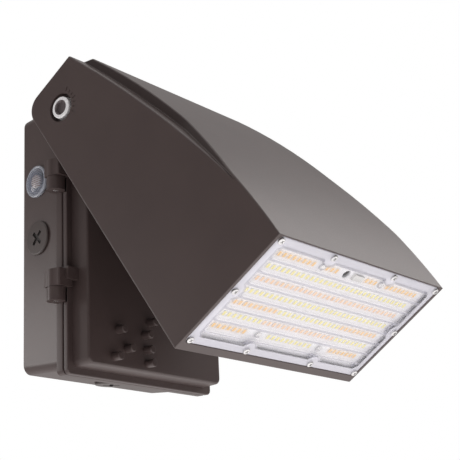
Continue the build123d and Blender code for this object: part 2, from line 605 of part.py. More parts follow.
def ring_x(outer, inner, x0, x1):
    """Flat ring about the tilt axis."""
    ring = rod_x(outer, x0, x1, -PIVOT_OUT, PIVOT_UP)
    return ring - rod_x(inner, x0 - 9, x1 + 9, -PIVOT_OUT, PIVOT_UP)


def pivot_bolts():
    return joined([pivot_bolt(side) for side in (-1, 1)])


def pivot_washers():
    return joined([ring_x(BOLT_HEAD_RADIUS + 0.6, BOLT_RADIUS, *sorted((side * (RECESS_FACE + 0.05),
                   side * (RECESS_FACE + WASHER_THICK)))) for side in (-1, 1)])


def friction_washers():
    return joined([ring_x(PIVOT_ARM_RADIUS - 1, BOLT_RADIUS, *sorted((side * ARM_END,
                   side * (BOSS_FACE - 0.1)))) for side in (-1, 1)])


# Head, in its own frame: origin on the pivot, the lens straight below, -Y to the front
CHORD_TOP = (-TOP_REACH, HEAD_TOP)
CHORD_END = (-LENS_REACH, LENS_LEVEL)
CHORD = math.dist(CHORD_TOP, CHORD_END)
DOWN = ((CHORD_END[0] - CHORD_TOP[0]) / CHORD, (CHORD_END[1] - CHORD_TOP[1]) / CHORD)
OUTWARD = (DOWN[1], -DOWN[0])


def front(share, rise):
    """Point at a share of the head's front line, raised outwards from it: (y, z)."""
    return (CHORD_TOP[0] + DOWN[0] * share * CHORD + OUTWARD[0] * rise,
            CHORD_TOP[1] + DOWN[1] * share * CHORD + OUTWARD[1] * rise)


def side_profile(thinner):
    """Side view of the head below its crown, with the front set back when it is drawn thinner."""
    start, end, low = front(0, -thinner), front(LEDGE_END, LEDGE_BOW - thinner), front(1, -thinner)
    middle = front(LEDGE_END / 2, LEDGE_BOW - thinner)
    bend = (HEAD_REAR - HEAD_CORNER * (1 - math.sqrt(0.5)), HEAD_TOP - HEAD_CORNER * (1 - math.sqrt(0.5)))
    side, top = (HEAD_REAR, HEAD_TOP - HEAD_CORNER), (HEAD_REAR - HEAD_CORNER, HEAD_TOP)
    lines = [ThreePointArc(start, middle, end), Polyline(end, low, (HEAD_REAR, low[1]), side),
             ThreePointArc(side, bend, top), Line(top, start)]
    return Plane.YZ * make_face(lines)


def crown_profile(thinner):
    """Side view of the raised, bowed front."""
    start, end = front(CROWN_STEP / CHORD, CROWN_STEP - thinner), front(1, -thinner)
    shoulder = front(0, -thinner)
    root = (shoulder[0] + CROWN_ROOT, shoulder[1] - CROWN_ROOT / 4)
    lines = [ThreePointArc(start, front(CROWN_PEAK, CROWN_BOW - thinner), end),
             Polyline(end, (end[0] + CROWN_ROOT, end[1]), root, shoulder, start)]
    return Plane.YZ * make_face(lines)


def crown_outline(half_width):
    """Front view of the crown: inset at the top, flared to the full width near the lens."""
    inset = half_width - CROWN_INSET
    top, bend, full, end = CHORD / 4, -CROWN_STRAIGHT * CHORD, -CROWN_FLARE * CHORD, -1.5 * CHORD
    points = [(inset, top), (inset, bend), (half_width, full), (half_width, end)]
    points += [(-x, y) for x, y in reversed(points)]
    sketch = make_face(Polyline(*points, close=True))
    bends = [vertex for vertex in sketch.vertices() if abs(vertex.Y - bend) < 1 or abs(vertex.Y - full) < 1]
    plane = Plane(origin=(0, CHORD_TOP[0], CHORD_TOP[1]), x_dir=(1, 0, 0), z_dir=(0, *OUTWARD))
    return plane * fillet(bends, CROWN_BEND)


def head_body(thinner):
    """Solid head, with its front and sides set in when it is drawn thinner."""
    half_width = EAR_OUTSIDE - thinner
    body = extrude(side_profile(thinner), half_width, both=True)
    crown = extrude(crown_profile(thinner), half_width, both=True)
    crown &= extrude(crown_outline(half_width), CHORD / 4, both=True)
    return body + crown


def head_hollow():
    """Space between the side panels, above the floor and open at the rear and the top."""
    width, far = EAR_INSIDE, 3 * HEAD_TOP
    hollow = head_body(CAST_WALL)
    hollow &= block(-width, width, -4 * LENS_REACH, far, SHROUD_FLOOR, far)
    hollow += block(-width, width, 0, far, SHROUD_FLOOR, far)
    return hollow + block(-width, width, CAST_WALL - TOP_REACH + 1, far, HEAD_TOP - 1, far)


def lens_screw_places():
    side, across = LENS_HALF_WIDTH - LENS_SCREW_INSET, LENS_HALF_WIDTH * 0.38
    near, far = LENS_REAR - LENS_SCREW_INSET, LENS_FRONT + LENS_SCREW_INSET
    middle = (near + far) / 2
    return [(sx * x, y) for sx in (-1, 1) for x, y in
            ((side, near), (side, far), (side, middle), (across, near), (across, far))]


def lens_area(margin, corner):
    """Rounded rectangle of the lens, grown by a margin, in the plan of the head."""
    width = 2 * (LENS_HALF_WIDTH + margin)
    depth = LENS_REAR - LENS_FRONT + 2 * margin
    return Pos(0, (LENS_FRONT + LENS_REAR) / 2) * RectangleRounded(width, depth, corner)


TICK_COUNT, TICK_STEP = 7, 15.0
TICK_START = -60.0
TICK_DEPTH = 0.4
HEAD_GLAND_X = -6.5
VENT_PLACE = (32.0, -30.0)
VENT_RADIUS, VENT_LIP, VENT_HEIGHT = 4.0, 2.5, 4.0


def head_housing():
    body = head_body(0) - head_hollow()
    fins = []
    foot, crest = SHROUD_FLOOR - 0.5, SHROUD_FLOOR + FIN_RISE
    for index in range(FIN_COUNT):
        x = (index - (FIN_COUNT - 1) / 2) * FIN_PITCH
        if abs(x - HEAD_GLAND_X) < GLAND_FLAT + FIN_THICK:
            continue
        if abs(x - VENT_PLACE[0]) < VENT_RADIUS + VENT_LIP + FIN_THICK:
            continue
        points = [(-FIN_REAR, foot), (-FIN_REAR, foot + FIN_TOE), (-FIN_REAR - FIN_SLOPE, crest),
                  (-2 * LENS_REACH, crest), (-2 * LENS_REACH, foot)]
        shape = make_face(Polyline(*points, close=True))
        fins.append(Pos(x, 0, 0) * extrude(Plane.YZ * shape, FIN_THICK / 2, both=True))
    solid = head_body(CAST_WALL / 4)
    for fin in fins:
        body += fin & solid
    for side in (-1, 1):
        body += rod_x(PIVOT_BOSS_RADIUS, side * BOSS_FACE, side * (EAR_INSIDE + 1), 0, 0)
        body -= rod_x(PIVOT_RECESS_RADIUS, side * RECESS_FACE, side * (EAR_OUTSIDE + 1), 0, 0)
        body -= rod_x(BOLT_RADIUS + BOLT_PLAY, side * (BOSS_FACE - 1), side * (EAR_OUTSIDE + 1), 0, 0)
        for index in range(TICK_COUNT):
            angle = TICK_START + index * TICK_STEP
            reach = 3.4 if index % 3 == 0 else 2.2
            tick = Pos(0, -PIVOT_RECESS_RADIUS - 1.6 - reach / 2, 0) * Box(2 * TICK_DEPTH, reach, 0.8)
            body -= Pos(side * EAR_OUTSIDE, 0, 0) * Rot(-angle, 0, 0) * tick
    level = Plane.XY.offset(LENS_LEVEL)
    body -= extrude(level * lens_area(LENS_PLAY, LENS_CORNER), LENS_SEAT_LEVEL - LENS_LEVEL)
    body -= extrude(level * lens_area(-LENS_SEAT, LENS_CORNER / 2), CHAMBER_DEPTH)
    for x, y in lens_screw_places():
        body -= rod_z(LENS_SCREW_RADIUS, LENS_LEVEL - 1, LENS_SEAT_LEVEL + LENS_SCREW_BITE + 0.5, x, y)
    for x, y in board_screw_places():
        body -= rod_z(BOARD_SCREW_RADIUS, CHAMBER_ROOF - 1, SHROUD_FLOOR - 0.6, x, y)
    body -= rod_z(GLAND_HOLE, CHAMBER_ROOF - 1, SHROUD_FLOOR + 1, *head_gland_place())
    body -= rod_z(VENT_RADIUS, CHAMBER_ROOF - 1, SHROUD_FLOOR + 1, *VENT_PLACE)
    return body


def lens():
    """Clear plate with a raised tray in the middle and a hole for each screw."""
    bottom = Plane.XY.offset(LENS_LEVEL + LENS_PLAY)
    plate = extrude(bottom * lens_area(0, LENS_CORNER), LENS_THICK)
    tray = extrude(bottom * lens_area(-LENS_SEAT, LENS_CORNER), -LENS_TRAY)
    plate += fillet(tray.faces().sort_by(Axis.Z)[0].edges(), 0.6 * LENS_TRAY)
    hollow = lens_area(-LENS_SEAT - LENS_TRAY_WALL, LENS_CORNER - LENS_TRAY_WALL)
    plate -= extrude(Plane.XY.offset(LENS_LEVEL + LENS_PLAY + LENS_TRAY_FLOOR) * hollow, LENS_THICK)
    for x, y in lens_screw_places():
        plate -= rod_z(LENS_SCREW_RADIUS + 0.2, LENS_LEVEL - 3, LENS_SEAT_LEVEL + 1, x, y)
    return plate


def lens_gasket():
    top = LENS_SEAT_LEVEL
    seat = Plane.XY.offset(top - LENS_GASKET)
    ring = extrude(seat * lens_area(-0.3, LENS_CORNER), LENS_GASKET)
    ring -= extrude(seat * lens_area(-LENS_SEAT + 0.6, LENS_CORNER / 2), LENS_GASKET)
    for x, y in lens_screw_places():
        ring -= rod_z(LENS_SCREW_RADIUS + 0.2, top - 2, top + 1, x, y)
    return ring


def lens_screws():
    face = LENS_LEVEL + LENS_PLAY
    screws = []
    for x, y in lens_screw_places():
        head = rod_z(LENS_SCREW_HEAD, face - LENS_SCREW_RISE, face, x, y)
        head = fillet(head.edges().filter_by(GeomType.CIRCLE).sort_by(Axis.Z)[0], LENS_SCREW_EDGE)
        screw = head + rod_z(LENS_SCREW_RADIUS - 0.05, face, LENS_SEAT_LEVEL + LENS_SCREW_BITE, x, y)
        for turn in (45, 135):
            slot = Box(1.1 * LENS_SCREW_HEAD, LENS_SCREW_HEAD / 4, 2 * (LENS_SCREW_RISE - LENS_SCREW_EDGE))
            screw -= Pos(x, y, face - LENS_SCREW_RISE) * Rot(0, 0, turn) * slot
        screws.append(screw)
    return joined(screws)


BOARD_SCREW_RADIUS = 1.5
CONNECTOR_X = 7.0
CONNECTOR_WIDTH, CONNECTOR_DEPTH, CONNECTOR_HEIGHT = 12.0, 5.0, 2.0
WIRE_HOLE_RADIUS = 3.4


def row_place(row):
    """Front to back place of a lamp row on the board."""
    return BOARD_REAR - ROW_MARGIN_REAR - row * ROW_PITCH


def board_screw_places():
    return [(side * BOARD_SCREW_ACROSS, row_place(row))
            for side in (-1, 1) for row in (0, LED_ROWS - 1)]


def head_gland_place():
    """The lead comes through the head's floor and the board beside the connector."""
    return (HEAD_GLAND_X, row_place(LED_ROWS - 1))


def led_board():
    board = block(-BOARD_HALF_WIDTH, BOARD_HALF_WIDTH, BOARD_FRONT, BOARD_REAR, BOARD_FACE, CHAMBER_ROOF)
    board = fillet(board.edges().filter_by(Axis.Z), 3)
    for x, y in board_screw_places():
        board -= rod_z(BOARD_SCREW_RADIUS + 0.2, BOARD_FACE - 1, CHAMBER_ROOF + 1, x, y)
    return board - rod_z(WIRE_HOLE_RADIUS, BOARD_FACE - 1, CHAMBER_ROOF + 1, *head_gland_place())


def leds(rows):
    """Lamp chips of the given rows, left out round the screws, the connector and the wire hole."""
    chips = []
    half_x, half_y = LED_WIDTH / 2, LED_LENGTH / 2
    for row in rows:
        y = row_place(row)
        room = 10.0 if row == 0 else 5.0
        keep_out = [(x, room) for x, screw_y in board_screw_places() if screw_y == y]
        if row == LED_ROWS - 1:
            keep_out.append((0, CONNECTOR_X + CONNECTOR_WIDTH / 2 + LED_WIDTH / 2))
        for index in range(LED_PER_ROW):
            x = (index - (LED_PER_ROW - 1) / 2) * LED_PITCH
            if all(abs(x - place) > room for place, room in keep_out):
                chips.append(block(x - half_x, x + half_x, y - half_y, y + half_y,
                                   BOARD_FACE - LED_HEIGHT, BOARD_FACE))
    return joined(chips)


def board_screws():
    return joined([rod_z(2.6, BOARD_FACE - 1.8, BOARD_FACE, x, y)
                   + rod_z(BOARD_SCREW_RADIUS - 0.05, BOARD_FACE, SHROUD_FLOOR - 1, x, y)
                   for x, y in board_screw_places()])


def board_connector():
    y = row_place(LED_ROWS - 1)
    left, right = CONNECTOR_X - CONNECTOR_WIDTH / 2, CONNECTOR_X + CONNECTOR_WIDTH / 2
    body = block(left, right, y - CONNECTOR_DEPTH / 2, y + CONNECTOR_DEPTH / 2,
                 BOARD_FACE - CONNECTOR_HEIGHT, BOARD_FACE)
    for way in range(4):
        x = CONNECTOR_X + (way - 1.5) * CONNECTOR_WIDTH / 4.5
        body -= block(x - 0.8, x + 0.8, y - CONNECTOR_DEPTH / 2 - 1, y, BOARD_FACE - CONNECTOR_HEIGHT / 4 * 3,
                      BOARD_FACE - CONNECTOR_HEIGHT / 4)
    return body


def vent_plug():
    x, y = VENT_PLACE
    cap = rod_z(VENT_RADIUS + VENT_LIP, SHROUD_FLOOR, SHROUD_FLOOR + VENT_HEIGHT, x, y)
    cap = chamfer(cap.edges().filter_by(GeomType.CIRCLE).sort_by(Axis.Z)[-1], 1)
    return cap + rod_z(VENT_RADIUS - 0.1, CHAMBER_ROOF + 0.2, SHROUD_FLOOR, x, y)


def hang(shape):
    """Puts a piece of the head on the pivot at its tilt."""
    return Pos(0, -PIVOT_OUT, PIVOT_UP) * Rot(-HEAD_TILT, 0, 0) * shape


def head_gland():
    """Gland screwed into the head's floor, flush below so that the board lies flat over it."""
    seat = Pos(*head_gland_place(), SHROUD_FLOOR + GLAND_NUT_THICK)
    return seat * gland(GLAND_NUT_THICK + CHAMBER_FLOOR - GLAND_TAIL)


def head_gland_nut():
    """Nut that locks the gland on top of the floor."""
    return Pos(*head_gland_place(), SHROUD_FLOOR) * gland_nut()


PIECES = {
    "back_box": back_box,
    "door_gasket": door_gasket,
    "conduit_plug_left": lambda: conduit_plug(ENTRY_SEATS["left"]),
    "conduit_plug_right": lambda: conduit_plug(ENTRY_SEATS["right"]),
    "conduit_plug_bottom": lambda: conduit_plug(ENTRY_SEATS["bottom"]),
    "photocell_lens": photocell_lens,
    "photocell_body": photocell_body,
    "photocell_nut": photocell_nut,
    "hinge_pins": hinge_pins,
    "ground_screw": ground_screw,
    "terminal_block": terminal_block,
    "terminal_screws": terminal_screws,
    "front_door": front_door,
    "captive_screws": captive_screws,
    "screw_retainers": screw_retainers,
    "led_driver": led_driver,
    "driver_screws": driver_screws,
    "surge_protector": surge_protector,
    "door_gland": door_gland,
    "door_gland_nut": door_gland_nut,
    "pivot_bolts": pivot_bolts,
    "pivot_washers": pivot_washers,
    "friction_washers": friction_washers,
    "head_housing": lambda: hang(head_housing()),
    "lens": lambda: hang(lens()),
    "lens_gasket": lambda: hang(lens_gasket()),
    "lens_screws": lambda: hang(lens_screws()),
    "led_board": lambda: hang(led_board()),
    "leds_neutral": lambda: hang(leds(range(1, LED_ROWS, 2))),
    "leds_warm": lambda: hang(leds(range(0, LED_ROWS, 2))),
    "board_screws": lambda: hang(board_screws()),
    "board_connector": lambda: hang(board_connector()),
    "head_gland": lambda: hang(head_gland()),
    "head_gland_nut": lambda: hang(head_gland_nut()),
    "vent_plug": lambda: hang(vent_plug()),
}

os.makedirs("parts", exist_ok=True)
for name, make in PIECES.items():
    export_step(make(), f"parts/{name}.step")
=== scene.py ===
import json
import math

import bmesh
import bpy
import numpy as np
from mathutils import Matrix, Vector


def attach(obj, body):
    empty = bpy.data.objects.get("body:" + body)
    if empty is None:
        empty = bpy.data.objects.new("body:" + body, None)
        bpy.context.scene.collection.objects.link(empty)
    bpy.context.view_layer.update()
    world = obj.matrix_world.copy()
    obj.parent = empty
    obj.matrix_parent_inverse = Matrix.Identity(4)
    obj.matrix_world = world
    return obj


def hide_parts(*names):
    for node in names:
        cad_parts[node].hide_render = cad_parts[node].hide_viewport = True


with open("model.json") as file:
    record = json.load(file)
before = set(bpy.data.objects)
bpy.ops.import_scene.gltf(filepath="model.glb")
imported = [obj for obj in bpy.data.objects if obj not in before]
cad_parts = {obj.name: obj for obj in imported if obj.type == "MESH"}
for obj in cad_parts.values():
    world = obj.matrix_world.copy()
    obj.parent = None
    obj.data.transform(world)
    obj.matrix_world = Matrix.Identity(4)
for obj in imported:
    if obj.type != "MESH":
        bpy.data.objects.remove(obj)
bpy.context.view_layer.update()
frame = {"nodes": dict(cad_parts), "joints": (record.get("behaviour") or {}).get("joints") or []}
scene = bpy.context.scene
scene.view_settings.view_transform = "Standard"

# ---------------------------------------------------------------- camera
# The light is looked up at from its lower left, so the hinge side and the lamp window both show.
# The place and the turns were solved from the outlines of the box, the head and the window.
CAMERA_PLACE = (-0.7110, -0.6709, -0.2601)
CAMERA_TURNS = (-53.21, -16.14, -2.54)
CAMERA_LENS, CAMERA_SENSOR = 97.86, 36.0


def camera_matrix():
    """Place and axes of the camera from its azimuth, elevation and roll in degrees."""
    a, e, r = map(math.radians, CAMERA_TURNS)
    forward = Vector((-math.sin(a) * math.cos(e), math.cos(a) * math.cos(e), -math.sin(e)))
    level = forward.cross(Vector((0, 0, 1))).normalized()
    upright = level.cross(forward)
    right = level * math.cos(r) + upright * math.sin(r)
    up = upright * math.cos(r) - level * math.sin(r)
    turn = Matrix((right, up, -forward)).transposed()
    return Matrix.Translation(CAMERA_PLACE) @ turn.to_4x4()


camera_data = bpy.data.cameras.new("camera")
camera_data.lens, camera_data.sensor_width = CAMERA_LENS, CAMERA_SENSOR
camera = bpy.data.objects.new("camera", camera_data)
camera.matrix_world = camera_matrix()
scene.collection.objects.link(camera)
scene.camera = camera

# ---------------------------------------------------------------- studio
# A pale room: a white floor, dim sides and a bright soft ceiling. One wide lamp stands above the front
# right, a small one behind the left lights the side of the wiring box, and one below lights the lens.
FLOOR_LEVEL, FLOOR_REACH = -0.8, 30.0
FLOOR_TONES, FLOOR_PATCH, FLOOR_ROUGHNESS = (0.93, 0.96), 3.0, 0.9
ROOM_SIDES, ROOM_CEILING, ROOM_FADE = 0.20, 1.05, (0.40, 0.97)
ROOM_TONE, PLAIN_WHITE = (1.0, 0.965, 0.955, 1.0), (1.0, 1.0, 1.0, 1.0)
LAMP_AIM = (0.0, -0.1, 0.0)
LAMPS = {"soft_lamp": ((1.6, -0.8, 1.2), (1.1, 1.1), 13.5),
         "soft_side": ((-0.46, 0.62, -0.02), (0.3, 0.3), 1.4),
         "soft_table": ((0.0, -0.2, -0.44), (1.3, 1.3), 2.8)}


def room_world():
    """World that is plain white to the camera and through clear pieces, and warmer as a light.

    Its strength as a light grows smoothly from ROOM_SIDES to ROOM_CEILING between two heights."""
    world = bpy.data.worlds.new("room")
    scene.world = world
    world.use_nodes = True
    nodes, links = world.node_tree.nodes, world.node_tree.links
    nodes.clear()
    place = nodes.new("ShaderNodeTexCoord")
    split = nodes.new("ShaderNodeSeparateXYZ")
    links.new(place.outputs["Generated"], split.inputs[0])
    fade = nodes.new("ShaderNodeMapRange")
    fade.interpolation_type = "SMOOTHSTEP"
    fade.inputs["From Min"].default_value, fade.inputs["From Max"].default_value = ROOM_FADE
    fade.inputs["To Min"].default_value, fade.inputs["To Max"].default_value = ROOM_SIDES, ROOM_CEILING
    links.new(split.outputs["Z"], fade.inputs["Value"])
    rays = nodes.new("ShaderNodeLightPath")
    clear = nodes.new("ShaderNodeMath")
    clear.operation = "MAXIMUM"
    links.new(rays.outputs["Is Camera Ray"], clear.inputs[0])
    links.new(rays.outputs["Is Transmission Ray"], clear.inputs[1])
    seen = nodes.new("ShaderNodeMix")
    links.new(clear.outputs[0], seen.inputs["Factor"])
    links.new(fade.outputs["Result"], seen.inputs["A"])
    seen.inputs["B"].default_value = 1.0
    tone = nodes.new("ShaderNodeMix")
    tone.data_type = "RGBA"
    links.new(clear.outputs[0], tone.inputs["Factor"])
    tone.inputs["A"].default_value, tone.inputs["B"].default_value = ROOM_TONE, PLAIN_WHITE
    background = nodes.new("ShaderNodeBackground")
    links.new(tone.outputs["Result"], background.inputs["Color"])
    links.new(seen.outputs["Result"], background.inputs["Strength"])
    output = nodes.new("ShaderNodeOutputWorld")
    links.new(background.outputs[0], output.inputs["Surface"])


def floor_material():
    """Matt pale floor with the faintest unevenness."""
    material = bpy.data.materials.new("pale_floor")
    material.use_nodes = True
    nodes, links = material.node_tree.nodes, material.node_tree.links
    shader = nodes["Principled BSDF"]
    shader.inputs["Roughness"].default_value = FLOOR_ROUGHNESS
    noise = nodes.new("ShaderNodeTexNoise")
    noise.inputs["Scale"].default_value = FLOOR_PATCH
    tone = nodes.new("ShaderNodeMapRange")
    tone.inputs["To Min"].default_value, tone.inputs["To Max"].default_value = FLOOR_TONES
    links.new(noise.outputs["Fac"], tone.inputs["Value"])
    links.new(tone.outputs["Result"], shader.inputs["Base Color"])
    return material


def aimed(place, target):
    """Matrix at a place with its -Z axis towards the target."""
    turn = (Vector(target) - Vector(place)).to_track_quat("-Z", "Y")
    return Matrix.Translation(place) @ turn.to_matrix().to_4x4()


room_world()
floor_mesh = bpy.data.meshes.new("floor")
corners = [(x * FLOOR_REACH, y * FLOOR_REACH, FLOOR_LEVEL) for x, y in ((-1, -1), (1, -1), (1, 1), (-1, 1))]
floor_mesh.from_pydata(corners, [], [(0, 1, 2, 3)])
floor_mesh.materials.append(floor_material())
floor = bpy.data.objects.new("floor", floor_mesh)
scene.collection.objects.link(floor)
for lamp_name, (lamp_place, lamp_size, lamp_power) in LAMPS.items():
    lamp_data = bpy.data.lights.new(lamp_name, "AREA")
    lamp_data.shape, lamp_data.energy = "RECTANGLE", lamp_power
    lamp_data.size, lamp_data.size_y = lamp_size
    lamp_data.color = ROOM_TONE[:3]
    lamp = bpy.data.objects.new(lamp_name, lamp_data)
    lamp.matrix_world = aimed(lamp_place, LAMP_AIM)
    lamp.visible_camera = False
    scene.collection.objects.link(lamp)

# ---------------------------------------------------------------- wiring box and door
# Both are die-cast aluminium under a dark bronze powder coat, which fills in every edge a little.
# Each is a copy of its solid, with the flat faces joined up and the edges rolled where there is room.
COAT_DARK, COAT_LIGHT = (0.066, 0.046, 0.044), (0.074, 0.052, 0.049)
COAT_ROUGHNESS, COAT_PATCH = (0.34, 0.44), 18.0
COAT_GRAIN, COAT_PEEL = 1500.0, 0.00005
CASTING_ROLL = 0.0006
TONE_STOPS, PATCH_DETAIL = (0.35, 0.65), 4.0
GRAIN_DETAIL, GRAIN_STRENGTH = 2.0, 0.5
WELD, FLAT, SHARP = 2e-6, math.radians(1.0), math.radians(28)


def grained(name, dark, light, roughness, patch, grain, depth, metallic=0.0):
    """Finish with slow patches of two tones, and a fine grain in its gloss and its bump."""
    material = bpy.data.materials.new(name)
    material.use_nodes = True
    nodes, links = material.node_tree.nodes, material.node_tree.links
    shader = nodes["Principled BSDF"]
    shader.inputs["Metallic"].default_value = metallic
    place = nodes.new("ShaderNodeTexCoord")
    slow = nodes.new("ShaderNodeTexNoise")
    slow.inputs["Scale"].default_value, slow.inputs["Detail"].default_value = patch, PATCH_DETAIL
    links.new(place.outputs["Object"], slow.inputs["Vector"])
    tone = nodes.new("ShaderNodeValToRGB")
    for stop, position, colour in zip(tone.color_ramp.elements, TONE_STOPS, (dark, light)):
        stop.position, stop.color = position, (*colour, 1)
    links.new(slow.outputs["Fac"], tone.inputs["Fac"])
    links.new(tone.outputs["Color"], shader.inputs["Base Color"])
    fine = nodes.new("ShaderNodeTexNoise")
    fine.inputs["Scale"].default_value, fine.inputs["Detail"].default_value = grain, GRAIN_DETAIL
    links.new(place.outputs["Object"], fine.inputs["Vector"])
    gloss = nodes.new("ShaderNodeMapRange")
    gloss.inputs["To Min"].default_value, gloss.inputs["To Max"].default_value = roughness
    links.new(fine.outputs["Fac"], gloss.inputs["Value"])
    links.new(gloss.outputs["Result"], shader.inputs["Roughness"])
    bump = nodes.new("ShaderNodeBump")
    bump.inputs["Strength"].default_value, bump.inputs["Distance"].default_value = GRAIN_STRENGTH, depth
    links.new(fine.outputs["Fac"], bump.inputs["Height"])
    links.new(bump.outputs["Normal"], shader.inputs["Normal"])
    return material


def finished(mesh, name, material, body, slot, *nodes):
    """Smooth-shaded piece from a mesh, which rides on a body and stands for CAD nodes."""
    mesh.materials.clear()
    mesh.materials.append(material)
    mesh.shade_smooth()
    piece = bpy.data.objects.new(name, mesh)
    scene.collection.objects.link(piece)
    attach(piece, body)
    if nodes:
        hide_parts(*nodes)
    return piece


def joined_copy(node, name):
    """Copy of a solid's mesh with its doubles merged and its flat faces joined up.

    The shading normals that came with the copy are dropped, since they belong to the old corners."""
    mesh = frame["nodes"][node].data.copy()
    mesh.name = name
    if "custom_normal" in mesh.attributes:
        mesh.attributes.remove(mesh.attributes["custom_normal"])
    shape = bmesh.new()
    shape.from_mesh(mesh)
    bmesh.ops.remove_doubles(shape, verts=shape.verts, dist=WELD)
    bmesh.ops.dissolve_limit(shape, angle_limit=FLAT, verts=shape.verts, edges=shape.edges)
    shape.to_mesh(mesh)
    shape.free()
    return mesh


def roll_edges(piece, roll, steps):
    """Rounds the sharp edges of a piece to the given radius, or less where its faces are small."""
    bevel = piece.modifiers.new("rolled_edges", "BEVEL")
    bevel.width, bevel.segments = roll, steps
    bevel.limit_method, bevel.angle_limit = "ANGLE", SHARP
    bevel.harden_normals = True
    return piece


def rolled_copy(node, name, roll, steps, material, body, slot):
    """Copy of a solid with its edges rolled over."""
    return roll_edges(finished(joined_copy(node, name), name, material, body, slot, node), roll, steps)


bronze = grained("bronze_coat", COAT_DARK, COAT_LIGHT, COAT_ROUGHNESS, COAT_PATCH, COAT_GRAIN, COAT_PEEL)
rolled_copy("back_box", "wiring_box", CASTING_ROLL, 2, bronze, "box", "bronze_casting")
rolled_copy("front_door", "hinged_door", CASTING_ROLL, 2, bronze, "door", "bronze_casting")

# ---------------------------------------------------------------- lamp head
# One large casting: two side panels with the pivot bosses, a bowed front, a floor with cooling fins
# and the rim round the lens. Its outer edges have a wide roll, its rim and its pocket a tight one.
HEAD_ROLL, RIM_ROLL, HEAD_ROLL_STEPS = 0.0012, 0.0005, 3
RIM_BAND, PIVOT_KEEP = 0.004, 0.021
HEAD_MIDDLE, OUTSIDE_REACH = (0.0, -0.025, -0.09), 0.02
tilt_joint = next(joint for joint in frame["joints"] if joint["name"] == "head_tilt")
PIVOT = np.array(tilt_joint["pos_m"], float)
TILT = math.radians(-tilt_joint["range_deg"][0])
HEAD_TURN = np.array([[1, 0, 0], [0, math.cos(TILT), math.sin(TILT)], [0, -math.sin(TILT), math.cos(TILT)]])


def into_head(points):
    """Points in the head's own axes: origin on the pivot, lens straight below, -Y to the front."""
    return (np.asarray(points, float) - PIVOT) @ HEAD_TURN


def from_head(points):
    """Points given in the head's own axes, at the head's tilt."""
    return np.asarray(points, float) @ HEAD_TURN.T + PIVOT


def vertices_of(mesh):
    """All vertex places of a mesh as one array."""
    points = np.empty(len(mesh.vertices) * 3)
    mesh.vertices.foreach_get("co", points)
    return points.reshape(-1, 3)


def head_box(node):
    """Lowest and highest corners of a node in the head's own axes."""
    points = into_head(vertices_of(frame["nodes"][node].data))
    return points.min(0), points.max(0)


def outer_edge_weights(mesh, rim_level):
    """Bevel weight of each edge, and whether it stays a plain sharp edge.

    The outer edges have full weight, those of the rim and inside the shell less. The recess and the
    fine tilt marks round the pivot have none and stay sharp."""
    shape = bmesh.new()
    shape.from_mesh(mesh)
    middle = Vector(from_head(HEAD_MIDDLE))
    weights, sharp = np.zeros(len(shape.edges), np.float32), np.zeros(len(shape.edges), bool)
    for index, edge in enumerate(shape.edges):
        if len(edge.link_faces) != 2 or edge.calc_face_angle(0) < SHARP:
            continue
        centre = (edge.verts[0].co + edge.verts[1].co) / 2
        if min(math.hypot(*into_head(vert.co)[1:]) for vert in edge.verts) < PIVOT_KEEP:
            sharp[index] = True
            continue
        outside = all(face.normal.dot(centre - middle) > OUTSIDE_REACH for face in edge.link_faces)
        high = into_head(centre)[2] > rim_level + RIM_BAND
        weights[index] = 1.0 if outside and high and edge.is_convex else RIM_ROLL / HEAD_ROLL
    shape.free()
    return weights, sharp


head_mesh = joined_copy("head_housing", "lamp_head")
head_weights, head_sharp = outer_edge_weights(head_mesh, head_box("head_housing")[0][2])
weight_layer = head_mesh.attributes.new("bevel_weight_edge", "FLOAT", "EDGE")
weight_layer.data.foreach_set("value", head_weights)
head = finished(head_mesh, "lamp_head", bronze, "head", "bronze_casting", "head_housing")
sharp_layer = head_mesh.attributes.get("sharp_edge")
if sharp_layer is None:
    sharp_layer = head_mesh.attributes.new("sharp_edge", "BOOLEAN", "EDGE")
sharp_layer.data.foreach_set("value", head_sharp)
head_bevel = head.modifiers.new("rolled_edges", "BEVEL")
head_bevel.width, head_bevel.segments, head_bevel.limit_method = HEAD_ROLL, HEAD_ROLL_STEPS, "WEIGHT"
head_bevel.use_clamp_overlap, head_bevel.harden_normals = False, True

# ---------------------------------------------------------------- box fittings
# Entry plugs are die-cast and coated like the box, but smoother. The gasket is black silicone,
# the earth screw green passivated steel, the terminal block natural nylon with steel screws.
PLUG_DARK, PLUG_LIGHT, PLUG_ROLL = (0.046, 0.033, 0.030), (0.053, 0.038, 0.035), 0.00035
WALL_SLANT, FLOOR_SLANT = 5.3 / 40.0, 2.5 / 40.0
PLUG_AXES = {"left": (-1, WALL_SLANT, 0), "right": (1, WALL_SLANT, 0), "bottom": (0, FLOOR_SLANT, -1)}
SLOT_SUNK, SLOT_REACH = 0.0003, 0.0068
plug_coat = grained("plug_coat", PLUG_DARK, PLUG_LIGHT, (0.30, 0.38), 40.0, 1800.0, 0.00003)
# The cross slots of the entry plugs get painted shade: a near-black material on their sunk faces.
slot_painted_shade = grained("plug_slot_painted_shade", (0.010, 0.007, 0.006), (0.016, 0.011, 0.010), (0.5, 0.65),
                     200.0, 1800.0, 0.00003)
silicone = grained("black_silicone", (0.012, 0.012, 0.013), (0.020, 0.020, 0.021), (0.55, 0.70),
                   60.0, 900.0, 0.00006)
steel = grained("stainless_steel", (0.66, 0.66, 0.67), (0.80, 0.80, 0.80), (0.18, 0.30),
                220.0, 2600.0, 0.00002, 1.0)
green_steel = grained("earth_green", (0.03, 0.25, 0.06), (0.06, 0.36, 0.11), (0.25, 0.38),
                      200.0, 2400.0, 0.00002, 0.6)
black_nylon = grained("black_nylon", (0.014, 0.014, 0.015), (0.022, 0.022, 0.023), (0.38, 0.52),
                      80.0, 1500.0, 0.00004)
pale_nylon = grained("natural_nylon", (0.62, 0.60, 0.53), (0.72, 0.70, 0.63), (0.35, 0.48),
                     70.0, 1200.0, 0.00003)


